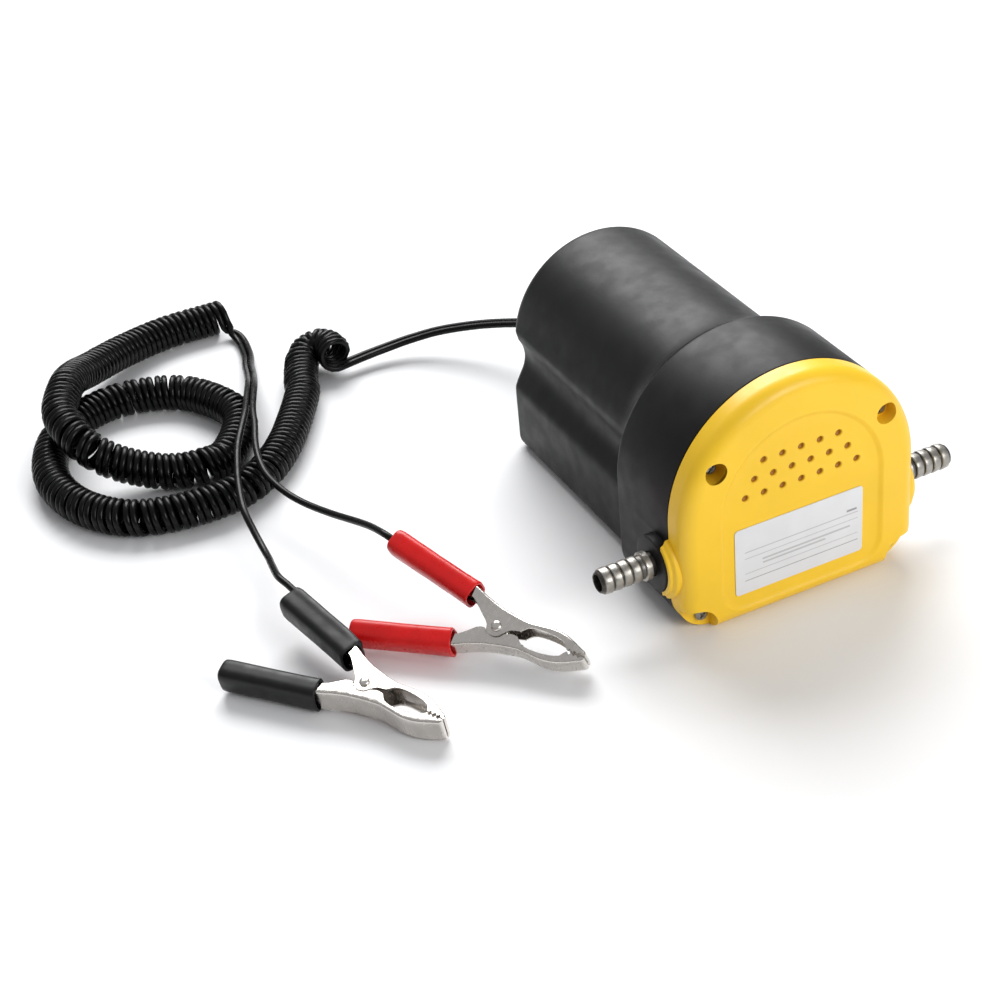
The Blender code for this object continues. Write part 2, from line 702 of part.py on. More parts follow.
def gear_set():
    gear("drive_gear", SHAFT_Z, math.pi / 2, SHAFT_RADIUS + 0.1 * MM)
    gear("idler_gear", IDLER_Z, math.pi / 2 + math.pi / GEAR_TEETH, IDLER_PIN_RADIUS + 0.15 * MM)
    pin = cylinder(11 * MM, 24.7 * MM, IDLER_PIN_RADIUS)
    turned_along_y("idler_pin", pin, dark_steel(), 0, IDLER_Z)
    seal = ring(22.8 * MM, 26.7 * MM, SHAFT_RADIUS + 0.15 * MM, 6.7 * MM)
    turned_along_y("shaft_seal", seal, black_rubber())


# ---------------------------------------------------------------- motor

def motor_can():
    front = MOTOR_FRONT
    inside = MOTOR_FRONT + 1.5 * MM
    cup = MOTOR_FRONT + 6.5 * MM
    wall = 1.2 * MM
    profile = [
        (front, 3.2 * MM), (front, MOTOR_RADIUS - 1 * MM), (front + 1 * MM, MOTOR_RADIUS),
        (MOTOR_BACK, MOTOR_RADIUS), (MOTOR_BACK, MOTOR_RADIUS - wall), (inside, MOTOR_RADIUS - wall),
        (inside, 9.6 * MM), (cup, 9.6 * MM), (cup, 8.3 * MM), (inside, 8.3 * MM), (inside, 3.2 * MM),
    ]
    can = turned_along_y("motor_can", profile, zinc_steel(), steps=20)
    for x, z in motor_screw_places():
        cut(can, turned_along_y("can_screw_hole", cylinder(0, 40 * MM, 2 * MM), zinc_steel(), x, z, 10))


def magnets():
    for name, middle in (("magnet_right", 0.0), ("magnet_left", math.pi)):
        spread = math.radians(58)
        outer = circle(0, SHAFT_Z, 23.5 * MM, 9, middle - spread, 2 * spread)
        inner = circle(0, SHAFT_Z, 20.4 * MM, 9, middle + spread, -2 * spread)
        prism_along_y(name, outer + inner, 44 * MM, 84 * MM, dark_steel())


def armature_core():
    """A slotted stack: each pole has a stem and a wider shoe."""
    points = []
    for pole in range(POLES):
        middle = 2 * math.pi * pole / POLES
        gap = math.pi / POLES
        for radius, half in ((9.2, 0.62), (17.4, 0.34), (17.4, 0.86), (19.6, 0.86)):
            points.append((radius * MM, middle - gap * half))
        points.append((19.8 * MM, middle))
        for radius, half in ((19.6, 0.86), (17.4, 0.86), (17.4, 0.34), (9.2, 0.62)):
            points.append((radius * MM, middle + gap * half))
    outline = [(radius * math.cos(angle), SHAFT_Z + radius * math.sin(angle)) for radius, angle in points]
    core = prism_along_y("armature_core", outline, 45 * MM, 83 * MM, dark_steel())
    cut(core, turned_along_y("core_bore", cylinder(0, 120 * MM, SHAFT_RADIUS + 0.1 * MM), dark_steel()))


def armature_winding():
    """Copper coils: a crown at each end of the core, joined by the wire that lies in its slots."""
    front_crown = ring(38.5 * MM, 44.6 * MM, 5 * MM, 17 * MM)
    rear_crown = ring(83.4 * MM, 88 * MM, 6.4 * MM, 17 * MM)
    winding = turned_along_y("armature_winding", front_crown, copper(), steps=21)
    for slot in range(POLES):
        bar = mm([(11, -0.9), (16.8, -2.4), (16.8, 2.4), (11, 0.9)])
        bar = [(x, SHAFT_Z + z) for x, z in rotated(bar, 2 * math.pi * (slot + 0.5) / POLES)]
        join(winding, prism_along_y("slot_wire", bar, 42 * MM, 86 * MM, copper()))
    join(winding, turned_along_y("rear_crown", rear_crown, copper(), steps=21))


def commutator():
    segments = ring(88.4 * MM, 93.6 * MM, SHAFT_RADIUS + 0.1 * MM, 5.6 * MM)
    turned_along_y("commutator", segments, copper(), steps=14)


def brushes():
    for name, side in (("brush_right", 1), ("brush_left", -1)):
        outline = rectangle(2.6 * MM, 2 * MM, side * 8.6 * MM, SHAFT_Z)
        prism_along_y(name, outline, 89.2 * MM, 92.8 * MM, carbon())


def motor_end_cap():
    """The rear plate, with a spigot inside the can and a cup for the rear bearing."""
    start = (MOTOR_BACK + GAP) / MM
    profile = mm([
        (start + 5.5, 0), (start + 5.5, 6.8), (start, 6.8), (start, 20), (start - 3, 20), (start - 3, 23.4),
        (start, 23.4), (start, 25), (start + 3, 25), (start + 3, 10), (start + 6.5, 9), (start + 6.5, 0),
    ])
    turned_along_y("motor_end_cap", profile, black_plastic(), steps=20)


def bearings():
    front = ring(MOTOR_FRONT + 1.8 * MM, MOTOR_FRONT + 6.3 * MM, SHAFT_RADIUS + 0.1 * MM, 8 * MM)
    turned_along_y("front_bearing", front, nickel())
    rear = ring(MOTOR_BACK + 0.8 * MM, MOTOR_BACK + 5.3 * MM, SHAFT_RADIUS + 0.1 * MM, 6.5 * MM)
    turned_along_y("rear_bearing", rear, nickel())


def motor_shaft():
    turned_along_y("motor_shaft", cylinder(11.2 * MM, MOTOR_BACK + 5.2 * MM, SHAFT_RADIUS), nickel())


# ---------------------------------------------------------------- switch and strain relief

def rocker_switch():
    look = black_plastic()
    back = CASE_LENGTH
    flange = rectangle(10.5 * MM, 7.5 * MM, 0, SWITCH_Z)
    case = rectangle(9.4 * MM, 6.2 * MM, 0, SWITCH_Z)
    well = rectangle(7.4 * MM, 4.9 * MM, 0, SWITCH_Z)
    body = prism_along_y("rocker_body", flange, back + GAP, back + 1.8 * MM, look)
    join(body, prism_along_y("switch_case", case, back - 14 * MM, back + 1 * MM, look))
    cut(body, prism_along_y("switch_well", well, back - 4.5 * MM, back + 5 * MM, look))
    outline = mm([(-6.6, -2.6), (6.6, -2.6), (6.6, 1.87), (0, 0.7), (-6.6, 1.87)])
    button = prism("rocker_button", outline, -4.5 * MM, 4.5 * MM, look)
    button.rotation_euler = (0, 0, -ROCKER_TILT)
    button.location = (0, FRONT_Y + back, SWITCH_Z)


def strain_relief():
    """A tapered, ribbed rubber boot outside the housing, with a neck through the wall and a collar inside."""
    start = CASE_LENGTH / MM
    outside = [(start - 5.4, 0), (start - 5.4, 6), (start - 3.4, 6)]
    outside += [(start - 3.4, 4.2), (start + 0.3, 4.2), (start + 0.3, 6)]
    for rib in range(4):
        along = start + 3 + rib * 3.4
        radius = 5.3 - rib * 0.45
        outside += [(along, radius), (along + 0.9, radius - 0.9), (along + 1.9, radius - 0.9)]
    outside += [(start + RELIEF_LENGTH / MM, 3.5), (start + RELIEF_LENGTH / MM, 0)]
    turned_along_y("strain_relief", mm(outside), black_rubber(), 0, LEAD_EXIT_Z, 10)


# ---------------------------------------------------------------- lead

def lead():
    tube("supply_cord", smooth_route(SUPPLY_ROUTE, 11 * MM), TWIN_DIAMETER, black_vinyl(), 2)
    tube("coil_cord", smooth_route(COIL_ROUTE, 18 * MM), COIL_DIAMETER, black_vinyl(), 3)
    tube("cord_tail", smooth_route(TAIL_ROUTE, 11 * MM), TWIN_DIAMETER, black_vinyl(), 2)
    tube("red_lead", smooth_route(RED_ROUTE, 8.7 * MM), CORE_DIAMETER, black_vinyl(), 2)
    tube("black_lead", smooth_route(BLACK_ROUTE, 8.7 * MM), CORE_DIAMETER, black_vinyl(), 2)


# ---------------------------------------------------------------- clips

# Places on a clip are (u towards the tips, v across, w up through the rivet), from the rivet's centre.
JAW_OUTSIDE = mm([(-13.9, 12.3), (-0.9, 7.6), (9.2, 5.8), (20.1, 6.4), (28.4, 4.6), (33, 2.2), (35.2, 0.6)])
HANDLE_OUTSIDE = mm([(-48.3, 21.1), (-14.3, 12.6), (-11, 10.9)])
HANDLE_INSIDE = mm([(-10, 6.2), (-15.6, 7.9), (-49.2, 16.3)])


def jaw_teeth():
    """The toothed gripping edge, from the tip back to the mouth."""
    points = [(35.2 * MM, 0.25 * MM)]
    for tooth in range(4):
        tip = 34 * MM - tooth * 1.9 * MM
        points += [(tip, 0.25 * MM), (tip - 0.9 * MM, 1.1 * MM)]
    return points


def jaw_outline(with_ear):
    mouth = mm([(26.4, 2.65), (19.9, 4), (12.9, 3.9), (9.1, 1.1)])
    throat = mm([(-6.9, 2.6), (-11.2, 6.6), (-14, 7.9)])
    if with_ear:
        ear = mm([(5.6, 0.5)]) + circle(0, 0, EAR_RADIUS, 9, math.radians(-30), math.radians(-140))
    else:
        ear = mm([(6.2, 1)]) + circle(0, 0, EAR_RADIUS + 0.7 * MM, 7, math.radians(25), math.radians(130))
    return JAW_OUTSIDE + jaw_teeth() + mouth + ear + throat


def channel_section(name, outside, outline, height, hollow_past, parent):
    """A U-shaped channel: two flat flanges joined by a spine along the outside edge.

    The hollow ends this far past the outside edge's front point: below zero it leaves a closed nose.
    """
    solid = prism(name, outline, -height / 2, height / 2, nickel(), parent)
    inner = [(u, v - SHEET * 1.05) for u, v in outside]
    first_u, first_v = inner[0]
    last_u, last_v = inner[-1]
    front_u = last_u + hollow_past
    hollow = [(first_u - 4 * MM, first_v + 1 * MM), *inner[:-1], (front_u, last_v), (front_u, -12 * MM)]
    hollow.append((first_u - 4 * MM, -12 * MM))
    cut(solid, prism("channel_hollow", hollow, SHEET - height / 2, height / 2 - SHEET, nickel(), parent))
    return solid


def clip_jaw(name, parent, is_fixed):
    """One half of a clip: jaw, spine and handle. The moving half's ears sit inside the fixed half's."""
    jaw = channel_section(name, JAW_OUTSIDE[:-1], jaw_outline(is_fixed), JAW_HEIGHT, -0.6 * MM, parent)
    sides = HANDLE_OUTSIDE + HANDLE_INSIDE
    join(jaw, channel_section("handle_channel", HANDLE_OUTSIDE, sides, HANDLE_HEIGHT, 4 * MM, parent))
    if not is_fixed:
        ear = circle(0, 0, EAR_RADIUS - 0.1 * MM, 9, math.pi, math.pi) + mm([(4.4, 6.4), (-4.4, 8.2)])
        top = JAW_HEIGHT / 2 - SHEET - GAP
        for low in (top - SHEET, -top):
            join(jaw, prism("inner_ear", ear, low, low + SHEET, nickel(), parent))
    cut(jaw, turned("rivet_hole", cylinder(-10 * MM, 10 * MM, RIVET_RADIUS + GAP), nickel(), 12, parent))


def sleeve_ring(along, across, half_width, half_height, count=14):
    """A rounded-oblong section of a sleeve, across the handle's direction."""
    heading = Vector((SLEEVE_REAR[0] - SLEEVE_FRONT[0], SLEEVE_REAR[1] - SLEEVE_FRONT[1], 0)).normalized()
    sideways = Vector((-heading.y, heading.x, 0))
    start = Vector((*SLEEVE_FRONT, 0))
    points = []
    for i in range(count):
        angle = 2 * math.pi * i / count
        reach = (abs(math.cos(angle)) ** 4 + abs(math.sin(angle)) ** 4) ** (-1 / 4)
        offset = sideways * (half_width * reach * math.cos(angle) + across)
        height = half_height * reach * math.sin(angle)
        points.append(start + heading * along + offset + Vector((0, 0, height)))
    return points


def clip_sleeve(name, parent, look):
    """A soft vinyl sleeve on a handle: open at the front, rounded and closed at the rear."""
    length = (Vector(SLEEVE_REAR) - Vector(SLEEVE_FRONT)).length
    width = SLEEVE_WIDTH / 2
    height = SLEEVE_HEIGHT / 2
    inner_width = width - SLEEVE_WALL
    inner_height = height - SLEEVE_WALL
    rings = [sleeve_ring(length - 2.5 * MM, 0, inner_width * 0.96, inner_height * 0.96)]
    rings += [sleeve_ring(0, 0, inner_width, inner_height), sleeve_ring(0, 0, width, height)]
    rings += [sleeve_ring(length * 0.5, 0, width * 0.97, height * 0.97)]
    rings += [sleeve_ring(length - 2 * MM, 0, width * 0.96, height * 0.97)]
    rings += [sleeve_ring(length - 0.6 * MM, 0, width * 0.88, height * 0.9)]
    rings += [sleeve_ring(length, 0, width * 0.72, height * 0.76)]
    lofted(name, rings, look, parent)


def clip_spring(name, parent):
    """A torsion spring round the rivet, with a leg along each handle."""
    radius = 2.75 * MM
    turns = 2.5
    points = []
    steps = round(turns * 10)
    for step in range(steps + 1):
        angle = math.pi * 0.25 + 2 * math.pi * turns * step / steps
        height = (step / steps - 0.5) * 4.1 * MM
        points.append(Vector((radius * math.cos(angle), radius * math.sin(angle), height)))
    first_leg = Vector((-12.2 * MM, 7.2 * MM, points[0].z))
    last_leg = Vector((-12.2 * MM, -7.2 * MM, points[-1].z))
    tube(name, [first_leg, *points, last_leg], 1.1 * MM, nickel(), 1, parent)


def clip_rivet(name, parent):
    height = JAW_HEIGHT / 2 + GAP
    head = 2.4 * MM
    profile = [
        (-height - 0.7 * MM, 0), (-height - 0.7 * MM, head * 0.75), (-height - 0.3 * MM, head),
        (-height, head), (-height, RIVET_RADIUS), (height, RIVET_RADIUS), (height, head),
        (height + 0.3 * MM, head), (height + 0.7 * MM, head * 0.75), (height + 0.7 * MM, 0),
    ]
    turned(name, profile, nickel(), 12, parent)


def clip(colour, pose, look):
    """A spring clip: its frame empty holds the fixed half, its pivot empty holds the moving half."""
    place, heading, pitch, roll = pose
    frame = empty(f"{colour}_clip_frame", mm([place])[0])
    turn = Matrix.Rotation(math.radians(heading), 3, "Z") @ Matrix.Rotation(math.radians(-pitch), 3, "Y")
    turn = turn @ Matrix.Rotation(math.radians(roll), 3, "X")
    frame.rotation_euler = turn.to_euler()
    pivot = empty(f"{colour}_clip_pivot")
    pivot.parent = frame
    pivot.scale = (1, -1, 1)
    clip_jaw(f"{colour}_fixed_jaw", frame, True)
    clip_jaw(f"{colour}_moving_jaw", pivot, False)
    clip_sleeve(f"{colour}_sleeve_wired", frame, look)
    clip_sleeve(f"{colour}_sleeve_free", pivot, look)
    clip_rivet(f"{colour}_rivet", frame)
    clip_spring(f"{colour}_spring", frame)


# ---------------------------------------------------------------- the whole pump

def main():
    for thing in list(bpy.data.objects):
        bpy.data.objects.remove(thing)
    rear_housing()
    front_cover()
    cover_screws()
    rating_label()
    hose_barb("inlet_barb", -1)
    hose_barb("outlet_barb", 1)
    pump_body()
    pump_gasket()
    pump_plate()
    plate_screws()
    motor_screws()
    gear_set()
    motor_can()
    magnets()
    armature_core()
    armature_winding()
    commutator()
    brushes()
    motor_end_cap()
    bearings()
    motor_shaft()
    rocker_switch()
    strain_relief()
    lead()
    clip("red", RED_CLIP, red_vinyl())
    clip("black", BLACK_CLIP, black_vinyl())


main()
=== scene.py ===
"""Looks of the fluid transfer pump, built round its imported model.

Metres, +Z up. The yellow cover faces -Y, and the pump stands on z = 0.
"""

from math import asin, copysign, cos, exp, pi, radians, sin, sqrt

import bmesh
import bpy
from mathutils import Matrix, Vector


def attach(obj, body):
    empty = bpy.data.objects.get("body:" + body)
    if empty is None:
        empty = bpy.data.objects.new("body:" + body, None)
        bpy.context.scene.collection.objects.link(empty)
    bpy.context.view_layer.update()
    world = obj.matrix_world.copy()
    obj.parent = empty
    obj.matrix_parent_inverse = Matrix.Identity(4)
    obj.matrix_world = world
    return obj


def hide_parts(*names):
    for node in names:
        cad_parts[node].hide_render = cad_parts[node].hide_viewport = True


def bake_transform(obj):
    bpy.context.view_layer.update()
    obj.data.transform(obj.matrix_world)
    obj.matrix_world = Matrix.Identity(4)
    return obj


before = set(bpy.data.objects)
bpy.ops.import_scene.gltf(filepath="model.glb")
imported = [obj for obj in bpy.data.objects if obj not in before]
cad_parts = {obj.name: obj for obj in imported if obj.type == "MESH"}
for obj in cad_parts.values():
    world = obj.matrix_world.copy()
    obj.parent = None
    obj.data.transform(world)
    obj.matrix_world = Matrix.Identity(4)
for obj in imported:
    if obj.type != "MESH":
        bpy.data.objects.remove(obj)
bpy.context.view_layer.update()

MM = 0.001

# -------- sizes

FRONT_Y = -79 * MM
CASE_LENGTH = 155 * MM
ARCH_RADIUS = 50 * MM
ARCH_CENTRE_Z = 46 * MM
FOOT_CORNER = 14 * MM
COVER_DEPTH = 11.5 * MM
COVER_SHOULDER = 6 * MM
COVER_WALL = 2.5 * MM
NECK_START = 50 * MM
NECK_END = 65 * MM
HOUSING_WALL = 3 * MM
REAR_EDGE = 5 * MM
BARREL_RADIUS = 39.5 * MM
BARREL_CENTRE_Z = 50 * MM

BARB_DEPTH = 18 * MM
BARB_Z = 26.7 * MM
BARB_BORE = 3.2 * MM
COLLAR_RADIUS = 10.8 * MM

# A cover screw's x and z and how deep its head sits, on the right-hand side.
UPPER_SCREW = (35.8 * MM, 69 * MM, 5.8 * MM)
LOWER_SCREW = (41 * MM, 6.5 * MM, 6 * MM)
SCREW_BORE = 1.75 * MM
UPPER_POCKET = 4.3 * MM
CORNER_POCKET = 8.8 * MM
CORNER_CENTRE = (45.5 * MM, 3 * MM)
POCKET_WALL = 1.6 * MM
VENT_ROWS = ((7, 53.5 * MM), (6, 60.4 * MM), (5, 67.3 * MM))
VENT_PITCH = 7.9 * MM
SWITCH_Z = 60 * MM
ROCKER_TILT = radians(10)
LEAD_EXIT_Z = 30 * MM

# The lead's two insulated cores lie side by side, and are wound together in the curly stretch.
CORE_DIAMETER = 2.9 * MM
CORE_SPACING = 2.84 * MM
COIL_RADIUS = 6.35 * MM
COIL_PITCH = 5.75 * MM
# How far the winding stops short of a whole number of turns, in radians.
COIL_SHORT = 0.6 * pi
ROUTE_STEP = 1.5 * MM
# Routes are in millimetres, and start at the pump's end.
SUPPLY_ROUTE = [
    (0, 86, 30), (0, 93.6, 30), (-1.6, 104, 28.6), (-5, 118, 25.6), (-10.7, 132.2, 21.5),
    (-21.4, 148.3, 16.5), (-35, 161, 12), (-47.5, 167.6, 8.6), (-58, 169.8, 6.8), (-68, 170.2, 5.9),
    (-77, 169.4, 5.6),
]
COIL_ROUTE = [
    (-84, 168, 12), (-83.6, 174.8, 12.4), (-86.6, 180.6, 11.8), (-91.6, 181.6, 10.2), (-96, 178, 8.8),
    (-99.6, 171.2, 8), (-103.6, 161.8, 7.85), (-108.5, 149.5, 7.85), (-130.6, 116.6, 7.85),
    (-152.4, 98.5, 7.85), (-176.4, 94.9, 7.85), (-201.1, 101.8, 7.85), (-217, 121.6, 7.85),
    (-221.5, 148.1, 7.85), (-212.4, 175, 7.85), (-194, 190, 7.85), (-172, 193, 7.85),
    (-148.8, 181.2, 7.85), (-137.4, 151.6, 7.85),
    (-151.4, 126, 7.85), (-165, 122.6, 7.9), (-178.5, 125.9, 8.6), (-192.9, 133.8, 12.5), (-202.9, 141.7, 18),
    (-208.1, 153.4, 22.4), (-208.2, 171, 23.8), (-200.5, 189, 23.8), (-193, 203, 20), (-182.9, 214.7, 15),
    (-162.8, 230.3, 10), (-139.4, 238.9, 7.85), (-113.5, 238.6, 7.85),
]
TAIL_ROUTE = [
    (-113, 231, 6.8), (-111.7, 229, 4.2), (-110, 224.6, 2.6), (-110.4, 217, 2.3), (-113.2, 204, 3.6),
    (-117.6, 190.5, 6.6), (-122, 174.5, 11.4), (-126.6, 160, 16.2), (-131, 149, 18.4),
]
RED_ROUTE = [
    (-134.8, 136, 19), (-138.8, 123.5, 19.2), (-144, 109.2, 19), (-147.4, 95.7, 18.7), (-148.1, 85.3, 17.6),
    (-145.9, 74.2, 16), (-142.1, 62.8, 15.5), (-137.2, 46.7, 18), (-132.9, 27.3, 23.6), (-131.4, 16.5, 27),
]
BLACK_ROUTE = [
    (-137.6, 137.2, 19), (-143.4, 126, 19.3), (-150.8, 112, 19), (-157.2, 95.8, 18.7), (-162, 81, 18.4),
    (-165.1, 68.3, 17.2), (-165.6, 58, 14), (-165.9, 49, 12), (-166.9, 39, 12.7), (-169, 28, 15.9),
]

# A clip's pose is its rivet's centre in millimetres, then its heading, its pitch and its roll in degrees.
RED_CLIP = ((-111.2, -48.9, 11.6), -53.7, -6.7, 32.3)
BLACK_CLIP = ((-165.1, -50.7, 8.4), -63.2, -3.1, 12.4)
JAW_HEIGHT = 10.5
SHEET = 0.9
SLEEVE_FRONT = Vector((-15, 9.9, 0))
SLEEVE_REAR = Vector((-52.6, 19.3, 0))

GREY = (0.3, 0.3, 0.31)
PALE = (0.5, 0.5, 0.51)
# Each mark is its centre in x and z, its half width and half height in millimetres, and its colour.
LABEL_MARKS = [
    (-0.2, 30.2, 24.5, 0.22, PALE), (-0.2, 27.4, 24.5, 0.16, PALE), (1.8, 24.9, 19, 0.4, PALE),
    (-3.5, 23.2, 13.5, 0.4, PALE), (-0.2, 20.7, 24.5, 0.16, PALE), (-0.2, 17.6, 24.5, 0.16, GREY),
    (21.5, 31.8, 2.2, 0.45, GREY),
]


def from_mm(pairs):
    return [(first * MM, second * MM) for first, second in pairs]


def route_from_mm(points):
    return [Vector(point) * MM for point in points]


# -------- materials

def node(tree, kind, **sockets):
    """A shader node with values for its named input sockets, an underscore standing for a space."""
    made = tree.nodes.new("ShaderNode" + kind)
    for name, value in sockets.items():
        made.inputs[name.replace("_", " ")].default_value = value
    return made


class Look:
    """A Principled material whose colour, roughness and relief come from nodes."""

    def __init__(self, name, colour, roughness, metallic=0.0, specular=0.5):
        self.material = bpy.data.materials.new(name)
        self.material.use_nodes = True
        self.tree = self.material.node_tree
        self.shader = self.tree.nodes["Principled BSDF"]
        self.shader.inputs["Base Color"].default_value = (*colour, 1)
        self.shader.inputs["Roughness"].default_value = roughness
        self.shader.inputs["Metallic"].default_value = metallic
        self.shader.inputs["Specular IOR Level"].default_value = specular
        self.material.diffuse_color = (*colour, 1)
        self.place = node(self.tree, "TexCoord").outputs["Object"]
        self.colour = colour

    def link(self, output, target):
        self.tree.links.new(output, target)

    def feed(self, source, target):
        """Links a socket to a target, or gives the target a plain value."""
        if isinstance(source, bpy.types.NodeSocket):
            self.link(source, target)
        else:
            target.default_value = source

    def reckoned(self, operation, *sources, kind="Math", output="Value"):
        """The result of a Math node, or of another kind of node that has an operation."""
        step = node(self.tree, kind)
        step.operation = operation
        for source, target in zip(sources, step.inputs):
            self.feed(source, target)
        return step.outputs[output]

    def coordinate(self, axis):
        """One of the object coordinates, in metres."""
        parts = node(self.tree, "SeparateXYZ")
        self.link(self.place, parts.inputs["Vector"])
        return parts.outputs[axis]

    def scaled(self, scale):
        """Object coordinates stretched by a scale along each axis."""
        mapping = node(self.tree, "Mapping", Scale=scale)
        self.link(self.place, mapping.inputs["Vector"])
        return mapping.outputs["Vector"]

    def noise(self, size, detail=3.0, stretch=(1, 1, 1), rough=0.5):
        """Noise from 0 to 1 whose features are about this size in metres."""
        texture = node(self.tree, "TexNoise", Scale=1 / size, Detail=detail, Roughness=rough)
        self.link(self.scaled(stretch), texture.inputs["Vector"])
        return texture.outputs["Fac"]

    def ranged(self, value, low, high, start=0.35, end=0.65):
        """A value carried from start and end to low and high."""
        change = node(self.tree, "MapRange", From_Min=start, From_Max=end, To_Min=low, To_Max=high)
        self.link(value, change.inputs["Value"])
        return change.outputs["Result"]

    def mix(self, share, first, second):
        """Colour from first to second as share goes from 0 to 1. Each may be a socket or a colour."""
        blend = node(self.tree, "Mix")
        blend.data_type = "RGBA"
        self.link(share, blend.inputs["Factor"])
        for colour, side in ((first, "A"), (second, "B")):
            self.feed((*colour, 1) if isinstance(colour, tuple) else colour, blend.inputs[side])
        return blend.outputs["Result"]

    def tint(self, amount, size):
        """Slow drift of the base colour, a little lighter and darker."""
        darker = tuple(channel * (1 - amount) for channel in self.colour)
        lighter = tuple(min(1, channel * (1 + amount)) for channel in self.colour)
        result = self.mix(self.ranged(self.noise(size), 0, 1), darker, lighter)
        self.paint(result)
        return result

    def paint(self, colour):
        self.link(colour, self.shader.inputs["Base Color"])

    def polish(self, low, high, size, stretch=(1, 1, 1)):
        """Roughness that wanders between two values."""
        self.link(self.ranged(self.noise(size, 4, stretch), low, high), self.shader.inputs["Roughness"])

    def relief(self, *layers):
        """Bump from (height socket, depth in metres) layers, the first one underneath."""
        before = None
        for height, depth in layers:
            bump = node(self.tree, "Bump", Strength=1.0, Distance=depth)
            self.link(height, bump.inputs["Height"])
            if before is not None:
                self.link(before, bump.inputs["Normal"])
            before = bump.outputs["Normal"]
        self.link(before, self.shader.inputs["Normal"])

    def from_x_line(self, y, z):
        """Distance in metres from the line along x that goes through y and z."""
        offset = self.reckoned("SUBTRACT", self.place, (0, y, z), kind="VectorMath", output="Vector")
        across = self.reckoned("MULTIPLY", offset, (0, 1, 1), kind="VectorMath", output="Vector")
        return self.reckoned("LENGTH", across, kind="VectorMath")

    def box_mask(self, x, z, half_width, half_height):
        """1 inside a rectangle in x and z, and 0 outside it."""
        inside = []
        for axis, middle, reach in (("X", x, half_width), ("Z", z, half_height)):
            apart = self.reckoned("ABSOLUTE", self.reckoned("SUBTRACT", self.coordinate(axis), middle))
            inside.append(self.reckoned("LESS_THAN", apart, reach))
        return self.reckoned("MULTIPLY", *inside)


def moulded_yellow():
    """Yellow plastic, with painted shade that turns it brown down in the vents."""
    look = Look("yellow_plastic", (0.93, 0.575, 0.022), 0.36, specular=0.45)
    plain = look.tint(0.03, 30 * MM)
    # Painted shade: deeper than the panel's face, the vents' walls and floors are coloured dark brown.
    sunken = look.ranged(look.coordinate("Y"), 0, 1, FRONT_Y + 1.15 * MM, FRONT_Y + 1.9 * MM)
    vent_shade = look.reckoned("MULTIPLY", sunken, look.box_mask(0, 60.4 * MM, 27 * MM, 9.5 * MM))
    look.paint(look.mix(vent_shade, plain, (0.4, 0.16, 0.008)))
    look.polish(0.32, 0.42, 6 * MM)
    look.relief((look.noise(9 * MM, 1), 0.06 * MM), (look.noise(0.5 * MM, 2), 0.008 * MM))
    return look.material


def moulded_black(name="black_plastic", grain=0.45 * MM, depth=0.035 * MM, low=0.42, high=0.52):
    look = Look(name, (0.0042, 0.0042, 0.0044), 0.44, specular=0.29)
    look.tint(0.12, 25 * MM)
    look.polish(low, high, 8 * MM)
    look.relief((look.noise(20 * MM, 1), 0.1 * MM), (look.noise(grain, 3), depth))
    return look.material


def cord_vinyl():
    look = Look("cord_vinyl", (0.0012, 0.0012, 0.0014), 0.25, specular=0.2)
    look.tint(0.2, 15 * MM)
    look.polish(0.24, 0.36, 3 * MM)
    look.relief((look.noise(2.5 * MM, 2), 0.02 * MM),)
    return look.material


def sleeve_vinyl(name, colour, low, high):
    look = Look(name, colour, low, specular=0.33)
    look.tint(0.08, 12 * MM)
    look.polish(low, high, 4 * MM)
    look.relief((look.noise(9 * MM, 2), 0.05 * MM), (look.noise(0.8 * MM, 2), 0.01 * MM))
    return look.material


def nickel_plate():
    look = Look("nickel_plate", (0.7, 0.665, 0.625), 0.2, metallic=1.0)
    look.tint(0.05, 5 * MM)
    look.polish(0.16, 0.3, 1.6 * MM, (1, 1, 0.15))
    look.relief((look.noise(5 * MM, 2), 0.05 * MM), (look.noise(0.5 * MM, 3, (1, 1, 0.1)), 0.006 * MM))
    return look.material


def zinc_barb(name):
    """Turned steel in its own grey on the ridges, with painted shade darkening the grooves between them."""
    look = Look(name, (0.47, 0.455, 0.43), 0.36, metallic=1.0)
    # Painted shade: nearer the barb's axis, in the grooves, the colour goes almost black.
    crest = look.ranged(look.from_x_line(FRONT_Y + BARB_DEPTH, BARB_Z), 0, 1, 4.45 * MM, 4.85 * MM)
    groove_shade = look.mix(look.noise(1.2 * MM, 3), (0.05, 0.047, 0.042), (0.12, 0.114, 0.104))
    bright = look.mix(look.noise(2 * MM, 4), (0.27, 0.255, 0.23), (0.46, 0.44, 0.405))
    look.paint(look.mix(crest, groove_shade, bright))
    look.polish(0.28, 0.5, 1.5 * MM)
    look.relief((look.noise(1.4 * MM, 3), 0.04 * MM), (look.noise(0.25 * MM, 2, (3, 1, 1)), 0.012 * MM))
    return look.material


def plain_metal(name, colour, low, high):
    look = Look(name, colour, low, metallic=1.0)
    look.tint(0.12, 6 * MM)
    look.polish(low, high, 2 * MM)
    look.relief((look.noise(0.6 * MM, 3), 0.012 * MM),)
    return look.material


def paper_label():
    """White sticker with plain grey rules and blocks where printing would be."""
    look = Look("label_vinyl", (0.74, 0.745, 0.76), 0.38, specular=0.4)
    face = look.tint(0.02, 10 * MM)
    for *box, shade in LABEL_MARKS:
        face = look.mix(look.box_mask(*(size * MM for size in box)), face, shade)
    look.paint(face)
    look.polish(0.32, 0.44, 5 * MM)
    look.relief((look.noise(12 * MM, 1), 0.03 * MM),)
    return look.material


# -------- mesh helpers

def shown(name, data):
    """A new object in the scene."""
    thing = bpy.data.objects.new(name, data)
    bpy.context.scene.collection.objects.link(thing)
    return thing


def finished(thing, angle=30):
    """Smooth shading but for the edges that turn by more than an angle."""
    thing.data.shade_smooth()
    thing.data.set_sharp_from_angle(angle=radians(angle))
    return thing


